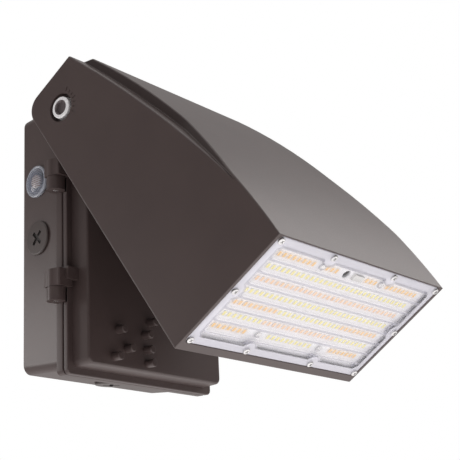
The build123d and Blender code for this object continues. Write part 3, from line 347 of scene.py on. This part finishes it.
def paint_shade_in_sunk_faces(piece, material, centre, axis, top, reach):
    """Paints shade on the faces that lie below a level along the axis and close to it: they get a second,
    darker material.
    """
    piece.data.materials.append(material)
    axis = Vector(axis).normalized()
    for face in piece.data.polygons:
        offset = face.center - Vector(centre)
        level = offset.dot(axis)
        if 0 < level < top and (offset - level * axis).length < reach:
            face.material_index = 1


for side, outwards in PLUG_AXES.items():
    plug = rolled_copy(f"conduit_plug_{side}", f"entry_plug_{side}", PLUG_ROLL, 2, plug_coat, "box",
                       "bronze_plug")
    points = vertices_of(plug.data)
    plug_middle = (points.min(0) + points.max(0)) / 2
    face_level = ((points - plug_middle) @ np.array(Vector(outwards).normalized())).max()
    paint_shade_in_sunk_faces(plug, slot_painted_shade, plug_middle, outwards, face_level - SLOT_SUNK, SLOT_REACH)
for node, name, roll, material, slot in (
        ("door_gasket", "door_seal", 0.0003, silicone, "seal_rubber"),
        ("hinge_pins", "hinge_pin_pair", 0.0003, steel, "bright_steel"),
        ("ground_screw", "earth_screw", 0.0003, green_steel, "earth_green"),
        ("terminal_block", "mains_terminal", 0.0004, pale_nylon, "terminal_nylon"),
        ("terminal_screws", "terminal_screw_pair", 0.0002, steel, "bright_steel"),
        ("photocell_body", "photocell_barrel", 0.0004, black_nylon, "black_nylon"),
        ("photocell_nut", "photocell_locknut", 0.0004, black_nylon, "black_nylon")):
    rolled_copy(node, name, roll, 2, material, "box", slot)

# ---------------------------------------------------------------- photocell
# A button photocell looks out of the box's left wall: a milky rim that seals on the wall, a clear
# bluish dome, and under it a pale disc with the track of the light sensor.
CELL_WALL_X, CELL_OUT, CELL_UP = 0.075, 0.0175, 0.0445
CELL_RADIUS, CELL_RIM_HEIGHT, CELL_RIM_WIDTH, CELL_DOME_RISE = 0.0123, 0.0024, 0.0022, 0.0055
RIM_ROUND_SIDE, RIM_ROUND_TOP, RIM_ROUND_EDGE = 0.0007, 0.0008, 0.0002
DOME_FOOT, DOME_STEPS, ROUND_STEPS = 0.8, 20, 72
SENSOR_RADIUS, SENSOR_HEIGHT, SENSOR_CHAMFER = 0.0052, 0.0026, (0.0003, 0.0004)
TRACK_SCALE, TRACK_EDGE, TRACK_COLOUR = 190.0, (0.55, 0.65), (0.30, 0.10, 0.05, 1)
LIGHTER = 1.06


def turned(name, profile, origin, axis):
    """Surface of revolution: each profile point (radius, height, hexagon share) is carried round.

    A point is origin + r * (cos t * u + sin t * v) + height * axis, with t once round and u, v square
    to the axis; r is the radius, drawn in to a hexagon's flats by cos 30 / cos((t mod 60) - 30) as far as
    the share says. The ends that touch the axis are closed by merging their points."""
    axis = Vector(axis).normalized()
    u = axis.orthogonal().normalized()
    v = axis.cross(u)
    t = np.linspace(0, 2 * np.pi, ROUND_STEPS, endpoint=False)
    radius, height, hexagon = np.array([(*row, 0.0)[:3] for row in profile], float).T
    flat = math.cos(math.pi / 6) / np.cos(t % (math.pi / 3) - math.pi / 6)
    reach = radius[None, :] * (1 - hexagon[None, :] * (1 - flat[:, None]))
    ring = np.cos(t)[:, None] * np.array(u) + np.sin(t)[:, None] * np.array(v)
    points = np.array(origin) + reach[:, :, None] * ring[:, None, :] + height[None, :, None] * np.array(axis)
    rows, columns = points.shape[:2]
    i, j = np.meshgrid(np.arange(rows), np.arange(columns - 1), indexing="ij")
    following = (i + 1) % rows
    faces = np.stack([i * columns + j, following * columns + j, following * columns + j + 1,
                      i * columns + j + 1], -1).reshape(-1, 4)
    mesh = bpy.data.meshes.new(name)
    mesh.from_pydata(points.reshape(-1, 3).tolist(), [], faces.tolist())
    shape = bmesh.new()
    shape.from_mesh(mesh)
    bmesh.ops.remove_doubles(shape, verts=shape.verts, dist=WELD)
    bmesh.ops.recalc_face_normals(shape, faces=shape.faces)
    shape.to_mesh(mesh)
    shape.free()
    return mesh


def dome_profile(radius, foot, crest, steps):
    """Quarter ellipse from the rim up to the axis: (radius, height) points."""
    t = np.linspace(0, np.pi / 2, steps)
    return np.stack([radius * np.cos(t), foot + (crest - foot) * np.sin(t)], -1)


def clear_plastic(name, tint, roughness, clearness):
    """Clear moulded plastic: a glossy surface that lets part of the light straight through."""
    light = tuple(LIGHTER * value for value in tint)
    material = grained(name, tint, light, roughness, 120.0, 2200.0, 0.00001)
    shader = material.node_tree.nodes["Principled BSDF"]
    shader.inputs["Alpha"].default_value = 1 - clearness
    return material


def sensor_material():
    """Pale ceramic disc with a red-brown track, drawn by level bands in a triangle wave."""
    material = grained("sensor_disc", (0.72, 0.66, 0.56), (0.80, 0.74, 0.64), (0.4, 0.5),
                       200.0, 1500.0, 0.00002)
    nodes, links = material.node_tree.nodes, material.node_tree.links
    shader = nodes["Principled BSDF"]
    ground = shader.inputs["Base Color"].links[0].from_socket
    place = nodes.new("ShaderNodeTexCoord")
    track = nodes.new("ShaderNodeTexWave")
    track.wave_type, track.bands_direction, track.wave_profile = "BANDS", "Z", "TRI"
    track.inputs["Scale"].default_value = TRACK_SCALE
    links.new(place.outputs["Object"], track.inputs["Vector"])
    edge = nodes.new("ShaderNodeMapRange")
    edge.inputs["From Min"].default_value, edge.inputs["From Max"].default_value = TRACK_EDGE
    links.new(track.outputs["Fac"], edge.inputs["Value"])
    colour = nodes.new("ShaderNodeMix")
    colour.data_type = "RGBA"
    links.new(edge.outputs["Result"], colour.inputs["Factor"])
    links.new(ground, colour.inputs["A"])
    colour.inputs["B"].default_value = TRACK_COLOUR
    links.new(colour.outputs["Result"], shader.inputs["Base Color"])
    return material


cell_seat = (-(CELL_WALL_X + WALL_SLANT * CELL_OUT), -CELL_OUT, CELL_UP)
cell_axis = (-1.0, WALL_SLANT, 0.0)
rim_inside = CELL_RADIUS - CELL_RIM_WIDTH
rim_profile = [(rim_inside, 0.0), (CELL_RADIUS, 0.0), (CELL_RADIUS, CELL_RIM_HEIGHT - RIM_ROUND_SIDE),
               (CELL_RADIUS - RIM_ROUND_EDGE, CELL_RIM_HEIGHT - RIM_ROUND_EDGE),
               (CELL_RADIUS - RIM_ROUND_TOP, CELL_RIM_HEIGHT), (rim_inside, CELL_RIM_HEIGHT),
               (rim_inside, 0.0)]
dome = dome_profile(rim_inside, CELL_RIM_HEIGHT * DOME_FOOT, CELL_DOME_RISE, DOME_STEPS)
sensor_profile = [(0.0, 0.0), (SENSOR_RADIUS, 0.0), (SENSOR_RADIUS, SENSOR_HEIGHT - SENSOR_CHAMFER[1]),
                  (SENSOR_RADIUS - SENSOR_CHAMFER[0], SENSOR_HEIGHT), (0.0, SENSOR_HEIGHT)]
clear_rim = clear_plastic("clear_rim", (0.50, 0.53, 0.60), (0.10, 0.16), 0.40)
bluish = clear_plastic("bluish_dome", (0.34, 0.37, 0.46), (0.06, 0.10), 0.55)
for name, profile, material in (("photocell_rim", rim_profile, clear_rim), ("photocell_dome", dome, bluish),
                                ("photocell_sensor", sensor_profile, sensor_material())):
    finished(turned(name, profile, cell_seat, cell_axis), name, material, "box", "photocell_window",
             "photocell_lens")

# ---------------------------------------------------------------- door fittings
# The door carries the lamp driver and the surge protector inside, the cable gland above, two captive
# screws, and the two steel pivot bolts with their washers and the rubber friction discs.
driver_white = grained("driver_case", (0.70, 0.70, 0.68), (0.78, 0.78, 0.76), (0.36, 0.48),
                       50.0, 1300.0, 0.00003)
dark_steel = grained("coated_screw", (0.035, 0.030, 0.029), (0.050, 0.043, 0.041), (0.32, 0.45),
                     200.0, 2400.0, 0.00002)
# The pivot bolts are light zinc with a painted reflection: a near-white base with little metal stands for the
# pale room they reflect.
zinc_with_painted_reflection = grained("bolt_zinc_painted_reflection", (0.90, 0.90, 0.92), (0.96, 0.96, 0.97), (0.28, 0.40),
               260.0, 2600.0, 0.00002, 0.1)
# The socket in each pivot bolt's head gets painted shade: a darker brown-grey than the bolt's own metal.
socket_painted_shade = grained("bolt_socket_painted_shade", (0.125, 0.105, 0.108), (0.165, 0.140, 0.142), (0.4, 0.55),
                      300.0, 2400.0, 0.00002)
for node, name, roll, steps, material, slot in (
        ("captive_screws", "door_screw_pair", 0.0002, 2, dark_steel, "dark_screw"),
        ("screw_retainers", "retainer_rings", 0.0001, 2, pale_nylon, "terminal_nylon"),
        ("led_driver", "lamp_driver", 0.0008, 3, driver_white, "driver_case"),
        ("driver_screws", "driver_screw_set", 0.0003, 2, steel, "bright_steel"),
        ("surge_protector", "surge_module", 0.0008, 3, black_nylon, "black_nylon"),
        ("door_gland", "lower_gland", 0.0004, 2, black_nylon, "black_nylon"),
        ("door_gland_nut", "lower_gland_nut", 0.0003, 2, black_nylon, "black_nylon")):
    rolled_copy(node, name, roll, steps, material, "door", slot)
BOLT_FACE, BOLT_HEAD_RADIUS, BOLT_HEAD_HEIGHT, BOLT_CHAMFER = 0.1052, 0.0082, 0.0046, 0.0006
BOLT_RADIUS, BOLT_LENGTH, BOLT_ROLL = 0.00498, 0.028, 0.00015
SOCKET_CORNER, SOCKET_MOUTH, SOCKET_DEPTH = 0.00543, 0.0057, 0.003
SOCKET_LEAD, SOCKET_TURN, SOCKET_SKIN = 0.0005, 0.0007, 0.0001
bolt_profile = [(0.0, -BOLT_LENGTH), (BOLT_RADIUS, -BOLT_LENGTH), (BOLT_RADIUS, 0.0), (BOLT_HEAD_RADIUS, 0.0),
                (BOLT_HEAD_RADIUS, BOLT_HEAD_HEIGHT - BOLT_CHAMFER),
                (BOLT_HEAD_RADIUS - BOLT_CHAMFER, BOLT_HEAD_HEIGHT),
                (SOCKET_MOUTH, BOLT_HEAD_HEIGHT), (SOCKET_CORNER, BOLT_HEAD_HEIGHT - SOCKET_LEAD),
                (SOCKET_CORNER, BOLT_HEAD_HEIGHT - SOCKET_TURN, 1.0),
                (SOCKET_CORNER, BOLT_HEAD_HEIGHT - SOCKET_DEPTH, 1.0), (0.0, BOLT_HEAD_HEIGHT - SOCKET_DEPTH)]
for side, way in (("left", -1), ("right", 1)):
    bolt_seat = PIVOT + (way * (BOLT_FACE - BOLT_HEAD_HEIGHT), 0, 0)
    bolt = finished(turned(f"pivot_bolt_{side}", bolt_profile, bolt_seat, (way, 0, 0)), f"pivot_bolt_{side}",
                    zinc_with_painted_reflection, "door", "bright_steel", "pivot_bolts")
    paint_shade_in_sunk_faces(bolt, socket_painted_shade, bolt_seat, (way, 0, 0), BOLT_HEAD_HEIGHT - SOCKET_SKIN,
                     SOCKET_MOUTH)
    roll_edges(bolt, BOLT_ROLL, 2)
rolled_copy("pivot_washers", "pivot_washer_pair", 0.0002, 2, steel, "door", "bright_steel")
rolled_copy("friction_washers", "friction_discs", 0.0002, 2, silicone, "door", "seal_rubber")

# ---------------------------------------------------------------- lens
# One clear moulding screwed to the head's rim: a flat flange, and inside it a raised tray with a long
# round optic over each row of lamps. The tray is notched round the screws.
TRAY_INSET, TRAY_CORNER, TRAY_RISE, TRAY_SLOPE = 0.0060, 0.005, 0.0012, 0.0009
NOTCH_RADIUS, FLANGE_CORNER, FLANGE_OVER = 0.0070, 0.004, 0.0004
OPTIC_WIDTH, OPTIC_RISE, OPTIC_END, OPTIC_SHIFT = 0.011, 0.0011, 0.0016, 0.0019
LENS_SKIN, LENS_GRID = 0.0010, (290, 165)
CREASE_FROM, CREASE_WIDTH, CREASE_TO, STEP_SHARE, INSIDE_CREASE = 0.70, 0.24, 1.1, 0.8, 0.3
LENS_SCREW_COUNT, CHIP_POINTS = 10, 24
LENS_VEIL, FLANGE_VEIL, CREASE_SHADE_VEIL = 0.05, 0.72, 0.66
# The creases and the tray's step get painted shade: a grey tint and less clearness there, standing for the
# dark of the bent moulding.
FLANGE_GREY, CREASE_SHADE_GREY = (0.80, 0.80, 0.88, 1), (0.42, 0.42, 0.50, 1)


def rounded_box_distance(x, y, half_x, half_y, corner):
    """Distance outside a rounded rectangle about the origin, negative inside it."""
    qx, qy = np.abs(x) - half_x + corner, np.abs(y) - half_y + corner
    return np.hypot(np.maximum(qx, 0), np.maximum(qy, 0)) + np.minimum(np.maximum(qx, qy), 0) - corner


def smooth_step(value):
    """0 below 0, 1 above 1, and 3v^2 - 2v^3 between."""
    v = np.clip(value, 0, 1)
    return v * v * (3 - 2 * v)


def piece_places(node, count):
    """Middle of each of a node's equal solids in the head's own axes."""
    points = into_head(vertices_of(frame["nodes"][node].data)).reshape(count, -1, 3)
    return (points.min(1) + points.max(1)) / 2


lens_low, lens_high = head_box("lens")
lens_half = (lens_high - lens_low) / 2
lens_middle = (lens_high + lens_low) / 2
chip_places = {node: into_head(vertices_of(frame["nodes"][node].data)).reshape(-1, CHIP_POINTS, 3).mean(1)
               for node in ("leds_warm", "leds_neutral")}
row_places = np.unique(np.round(np.concatenate([places[:, 1] for places in chip_places.values()]), 4))
optic_places = row_places - OPTIC_SHIFT
lens_screws_at = piece_places("lens_screws", LENS_SCREW_COUNT)


def lens_heights(x, y):
    """Depth of the moulding's outer face below its flange, and the shares of painted crease shade, tray and
    flange.

    The tray rises by TRAY_RISE over a slope of TRAY_SLOPE inside its outline. On it each optic adds
    OPTIC_RISE * sqrt(1 - q^2), where q is the distance from its middle line over its half width. The
    tray's step and the grooves between the optics count as creases."""
    tray = rounded_box_distance(x, y - lens_middle[1], lens_half[0] - TRAY_INSET, lens_half[1] - TRAY_INSET,
                                TRAY_CORNER)
    for place in lens_screws_at:
        tray = np.maximum(tray, NOTCH_RADIUS - np.hypot(x - place[0], y - place[1]))
    rise = smooth_step(-tray / TRAY_SLOPE)
    q = np.min([np.abs(y - place) for place in optic_places], 0) / (OPTIC_WIDTH / 2)
    inside = smooth_step(-(tray + TRAY_SLOPE) / OPTIC_END)
    optics = np.sqrt(np.clip(1 - q * q, 0, 1)) * inside
    step = np.sqrt(4 * rise * (1 - rise))
    crease_shade = smooth_step((q - CREASE_FROM) / CREASE_WIDTH) * (q < CREASE_TO) * rise
    flange = 1 - smooth_step(-(tray + FLANGE_OVER) / TRAY_SLOPE)
    return TRAY_RISE * rise + OPTIC_RISE * optics, np.maximum(STEP_SHARE * step, crease_shade), rise, flange


def lens_mesh():
    """Closed shell: the outer face is a grid fitted to the rounded outline, the inner face follows it."""
    columns, rows = LENS_GRID
    u, v = np.linspace(-1, 1, columns), np.linspace(-1, 1, rows)
    u, v = np.meshgrid(u, v, indexing="ij")
    y = v * lens_half[1]
    over = np.maximum(np.abs(y) - (lens_half[1] - FLANGE_CORNER), 0)
    width = lens_half[0] - FLANGE_CORNER + np.sqrt(np.maximum(FLANGE_CORNER ** 2 - over ** 2, 0))
    x, y = u * width, y + lens_middle[1]
    depth, crease_shade, rise, flange = lens_heights(x, y)
    level = lens_low[2] + TRAY_RISE
    outer = np.stack([x, y, level - depth], -1)
    inner = np.stack([x, y, lens_high[2] - rise * (lens_high[2] - level - LENS_SKIN)], -1)
    points = np.concatenate([outer.reshape(-1, 3), inner.reshape(-1, 3)])
    i, j = np.meshgrid(np.arange(columns - 1), np.arange(rows - 1), indexing="ij")
    low = np.stack([i * rows + j, i * rows + j + 1, (i + 1) * rows + j + 1, (i + 1) * rows + j], -1)
    low = low.reshape(-1, 4)
    count = columns * rows
    edge = np.concatenate([np.arange(rows), np.arange(1, columns) * rows + rows - 1,
                           (columns - 1) * rows + np.arange(rows - 2, -1, -1),
                           np.arange(columns - 2, 0, -1) * rows])
    after = np.roll(edge, -1)
    wall = np.stack([edge, edge + count, after + count, after], -1)
    faces = np.concatenate([low, low[:, ::-1] + count, wall])
    mesh = bpy.data.meshes.new("clear_lens")
    mesh.from_pydata(from_head(points).tolist(), [], faces.tolist())
    shape = bmesh.new()
    shape.from_mesh(mesh)
    bmesh.ops.recalc_face_normals(shape, faces=shape.faces)
    shape.to_mesh(mesh)
    shape.free()
    for layer_name, values, inner_share in (("crease_shade", crease_shade, INSIDE_CREASE), ("flange", flange, 1.0)):
        layer = mesh.attributes.new(layer_name, "FLOAT", "POINT")
        both = np.concatenate([values.ravel(), inner_share * values.ravel()])
        layer.data.foreach_set("value", both.astype(np.float32))
    return mesh


def lens_material():
    """Clear polycarbonate, milkier on the flange, with painted shade where the moulding steps or creases:
    greyer and less clear there.
    """
    material = grained("clear_polycarbonate", (0.90, 0.90, 0.95), (0.93, 0.93, 0.97), (0.05, 0.09),
                       60.0, 1800.0, 0.000006)
    nodes, links = material.node_tree.nodes, material.node_tree.links
    shader = nodes["Principled BSDF"]
    crease_shade, flange = nodes.new("ShaderNodeAttribute"), nodes.new("ShaderNodeAttribute")
    crease_shade.attribute_name, flange.attribute_name = "crease_shade", "flange"
    milky, greyed = nodes.new("ShaderNodeMapRange"), nodes.new("ShaderNodeMapRange")
    milky.inputs["To Min"].default_value, milky.inputs["To Max"].default_value = LENS_VEIL, FLANGE_VEIL
    links.new(flange.outputs["Fac"], milky.inputs["Value"])
    greyed.inputs["To Max"].default_value = CREASE_SHADE_VEIL
    links.new(milky.outputs["Result"], greyed.inputs["To Min"])
    links.new(crease_shade.outputs["Fac"], greyed.inputs["Value"])
    links.new(greyed.outputs["Result"], shader.inputs["Alpha"])
    ground = shader.inputs["Base Color"].links[0].from_socket
    for share, grey in ((flange, FLANGE_GREY), (crease_shade, CREASE_SHADE_GREY)):
        colour = nodes.new("ShaderNodeMix")
        colour.data_type = "RGBA"
        links.new(share.outputs["Fac"], colour.inputs["Factor"])
        links.new(ground, colour.inputs["A"])
        colour.inputs["B"].default_value = grey
        ground = colour.outputs["Result"]
    links.new(ground, shader.inputs["Base Color"])
    return material


finished(lens_mesh(), "clear_lens", lens_material(), "head", "lens_clear", "lens")

# ---------------------------------------------------------------- lamp board
# White aluminium-core board behind the lens, in seven rows of lamp chips in two light colours. A chip
# is a white package with a window of phosphor, yellow for the cool ones and orange for the warm.
CHIP_WINDOW, WIRE_HOLE = 0.90, 0.0034
CHIP_SHARES = (1.0, 1.0, 0.94, CHIP_WINDOW, CHIP_WINDOW * 0.97, 0.55, 0.25)
CHIP_LEVELS = (0.0, 0.86, 1.0, 1.0, 0.90, 0.93, 0.96)
WINDOW_RING = 4
YELLOW, PEACH, ORANGE, PEACH_WARMTH = (0.97, 0.88, 0.36), (0.97, 0.68, 0.45), (0.98, 0.64, 0.26), 0.62
MIXED_ROWS = {0: (0.035, 0.0, 1.0), 1: (0.045, PEACH_WARMTH, 0.0), 2: (0.040, 0.0, 0.9),
              4: (math.inf, PEACH_WARMTH, 0.0)}
# Round the chips the reflector film gets painted glow: a tint in the phosphor's colour spread along each row,
# though the chips give no light.
GLOW_ALONG, GLOW_ACROSS, PAINTED_GLOW_SHARE = 0.0017, 0.0016, (0.30, 0.75)
FILM_LIFT, FILM_OVER, FILM_GRID = 0.00016, 0.0026, (270, 120)
ROW_SLACK = 0.001


def chip_unit(half_x, half_y, height):
    """One lamp chip about the origin: wall, bevelled lip and a shallow domed window, as stacked rings.

    Each ring is the chip's rectangle times a share, at a level that is a share of the height. The
    window's rings sink below the lip and rise again to the middle. Returns the points, the faces, and
    for each point 1 where the phosphor is."""
    square = np.array([(-1, -1), (1, -1), (1, 1), (-1, 1)], float)
    rings = [np.column_stack([square * (half_x, half_y) * share, np.full(4, -level * height)])
             for share, level in zip(CHIP_SHARES, CHIP_LEVELS)]
    points = np.concatenate(rings)
    k = np.arange(len(rings) - 1)[:, None] * 4
    side = np.arange(4)[None, :]
    after = (side + 1) % 4
    faces = np.stack([k + side, k + after, k + 4 + after, k + 4 + side], -1).reshape(-1, 4)
    last = 4 * (len(rings) - 1)
    faces = np.concatenate([faces, [[last, last + 1, last + 2, last + 3]], [[3, 2, 1, 0]]])
    phosphor_and_glow = np.repeat((np.arange(len(rings)) >= WINDOW_RING).astype(np.float32), 4)
    return points, faces, phosphor_and_glow


def warmth_of(places):
    """How warm each chip's phosphor is, 0 yellow to 1 orange, by its row and its place along it.

    Rows count from the door side and are warm and cool in turn. A mixed row has one warmth up to a
    reach on both sides of the middle and another beyond it."""
    rows = np.argmin(np.abs(places[:, 1:2] - row_places[::-1][None, :]), 1)
    warm = np.where(rows % 2 == 0, 1.0, 0.0)
    for row, (reach, inner, outer) in MIXED_ROWS.items():
        warm = np.where(rows == row, np.where(np.abs(places[:, 0]) < reach, inner, outer), warm)
    return warm


def chips_mesh(node, name):
    """All chips of a node: the unit chip copied to every place by broadcasting."""
    places = chip_places[node]
    low, high = head_box(node)
    height = high[2] - low[2]
    one = into_head(vertices_of(frame["nodes"][node].data))[:CHIP_POINTS]
    half_x, half_y = (one.max(0) - one.min(0))[:2] / 2
    points, faces, phosphor_and_glow = chip_unit(half_x, half_y, height)
    seats = places + (0, 0, height / 2)
    all_points = (seats[:, None, :] + points[None, :, :]).reshape(-1, 3)
    all_faces = (np.arange(len(seats))[:, None, None] * len(points) + faces[None]).reshape(-1, 4)
    mesh = bpy.data.meshes.new(name)
    mesh.from_pydata(from_head(all_points).tolist(), [], all_faces.tolist())
    shape = bmesh.new()
    shape.from_mesh(mesh)
    bmesh.ops.recalc_face_normals(shape, faces=shape.faces)
    shape.to_mesh(mesh)
    shape.free()
    layer = mesh.attributes.new("phosphor_and_glow", "FLOAT", "POINT")
    layer.data.foreach_set("value", np.tile(phosphor_and_glow, len(seats)))
    layer = mesh.attributes.new("warmth", "FLOAT", "POINT")
    layer.data.foreach_set("value", np.repeat(warmth_of(places), len(points)).astype(np.float32))
    return mesh


def film_mesh():
    """White reflector film on the board, with painted glow: a phosphor-coloured tint round each chip.

    With g the sum over all chips of exp(-(dx^2 / 2a^2 + dy^2 / 2b^2)), the tint is g times a share that
    grows with the warmth of the chips near by. The film reaches past the board to the seal. The faces
    over the wire hole are left out."""
    low, high = head_box("led_board")
    x, y = np.meshgrid(np.linspace(low[0] - FILM_OVER, high[0] + FILM_OVER, FILM_GRID[0]),
                       np.linspace(low[1] - FILM_OVER, high[1] + FILM_OVER, FILM_GRID[1]), indexing="ij")
    places = np.concatenate(list(chip_places.values()))
    warm = np.concatenate([warmth_of(group) for group in chip_places.values()])
    glow, heat = np.zeros_like(x), np.zeros_like(x)
    for row in row_places:
        mine = np.abs(places[:, 1] - row) < ROW_SLACK
        along = np.exp(-(x[..., None] - places[mine, 0]) ** 2 / (2 * GLOW_ALONG ** 2))
        across = np.exp(-(y - row) ** 2 / (2 * GLOW_ACROSS ** 2))
        glow += along.sum(-1) * across
        heat += (along * warm[mine]).sum(-1) * across
    warmth = heat / (glow + 1e-6)
    tint = np.clip(glow * (PAINTED_GLOW_SHARE[0] + (PAINTED_GLOW_SHARE[1] - PAINTED_GLOW_SHARE[0]) * warmth), 0, 1)
    columns, rows = x.shape
    i, j = np.meshgrid(np.arange(columns - 1), np.arange(rows - 1), indexing="ij")
    faces = np.stack([i * rows + j, i * rows + j + 1, (i + 1) * rows + j + 1, (i + 1) * rows + j], -1)
    open_at = piece_places("head_gland", 1)[0]
    kept = np.hypot(x[:-1, :-1] - open_at[0], y[:-1, :-1] - open_at[1]) > WIRE_HOLE
    points = np.stack([x, y, np.full_like(x, low[2] - FILM_LIFT)], -1).reshape(-1, 3)
    mesh = bpy.data.meshes.new("reflector_film")
    mesh.from_pydata(from_head(points).tolist(), [], faces[kept].tolist())
    for layer_name, values in (("phosphor_and_glow", tint), ("warmth", warmth)):
        layer = mesh.attributes.new(layer_name, "FLOAT", "POINT")
        layer.data.foreach_set("value", values.ravel().astype(np.float32))
    return mesh


def phosphor_and_painted_glow_material():
    """White plastic, with phosphor from yellow through peach to orange by the warmth attribute; on the
    reflector film the same mix paints the glow round the chips.
    """
    material = grained("lamp_phosphor_and_painted_glow", (0.91, 0.91, 0.94), (0.94, 0.94, 0.97), (0.25, 0.40),
                       300.0, 3000.0, 0.00001)
    nodes, links = material.node_tree.nodes, material.node_tree.links
    shader = nodes["Principled BSDF"]
    package = shader.inputs["Base Color"].links[0].from_socket
    warmth, phosphor_and_glow = nodes.new("ShaderNodeAttribute"), nodes.new("ShaderNodeAttribute")
    warmth.attribute_name, phosphor_and_glow.attribute_name = "warmth", "phosphor_and_glow"
    tone = nodes.new("ShaderNodeValToRGB")
    stops = tone.color_ramp.elements
    stops[0].color, stops[1].color = (*YELLOW, 1), (*ORANGE, 1)
    middle = stops.new(PEACH_WARMTH)
    middle.color = (*PEACH, 1)
    links.new(warmth.outputs["Fac"], tone.inputs["Fac"])
    colour = nodes.new("ShaderNodeMix")
    colour.data_type = "RGBA"
    links.new(phosphor_and_glow.outputs["Fac"], colour.inputs["Factor"])
    links.new(package, colour.inputs["A"])
    links.new(tone.outputs["Color"], colour.inputs["B"])
    links.new(colour.outputs["Result"], shader.inputs["Base Color"])
    return material


board_white = grained("board_mask", (0.84, 0.85, 0.88), (0.88, 0.89, 0.92), (0.25, 0.35),
                      40.0, 900.0, 0.00001)
connector_white = grained("connector_nylon", (0.74, 0.74, 0.72), (0.80, 0.80, 0.78), (0.35, 0.45),
                          80.0, 1500.0, 0.00002)
rolled_copy("led_board", "lamp_board", 0.0002, 2, board_white, "head", "board_white")
phosphor_with_painted_glow = phosphor_and_painted_glow_material()
finished(film_mesh(), "reflector_film", phosphor_with_painted_glow, "head", "board_white", "led_board")
for node, name, slot in (("leds_warm", "warm_chips", "led_warm"),
                         ("leds_neutral", "neutral_chips", "led_neutral")):
    finished(chips_mesh(node, name), name, phosphor_with_painted_glow, "head", slot, node).data.shade_flat()
rolled_copy("board_screws", "board_screw_set", 0.0002, 2, steel, "head", "bright_steel")
rolled_copy("board_connector", "board_plug_socket", 0.0002, 2, connector_white, "head", "connector_white")

# ---------------------------------------------------------------- lens screws, seal and glands
# Ten stainless pan-head screws hold the lens on a white silicone seal in the head's rim. Above the
# board, the cable gland with its nut and the breather plug are of black nylon.
white_silicone = grained("white_silicone", (0.74, 0.74, 0.76), (0.82, 0.82, 0.84), (0.4, 0.55),
                         60.0, 900.0, 0.00003)
for node, name, roll, steps, material, slot in (
        ("lens_screws", "lens_screw_set", 0.00015, 2, steel, "bright_steel"),
        ("lens_gasket", "lens_seal", 0.0001, 1, white_silicone, "lens_seal"),
        ("head_gland", "upper_gland", 0.0004, 2, black_nylon, "black_nylon"),
        ("head_gland_nut", "upper_gland_nut", 0.0003, 2, black_nylon, "black_nylon"),
        ("vent_plug", "breather_plug", 0.0004, 2, black_nylon, "black_nylon")):
    rolled_copy(node, name, roll, steps, material, "head", slot)
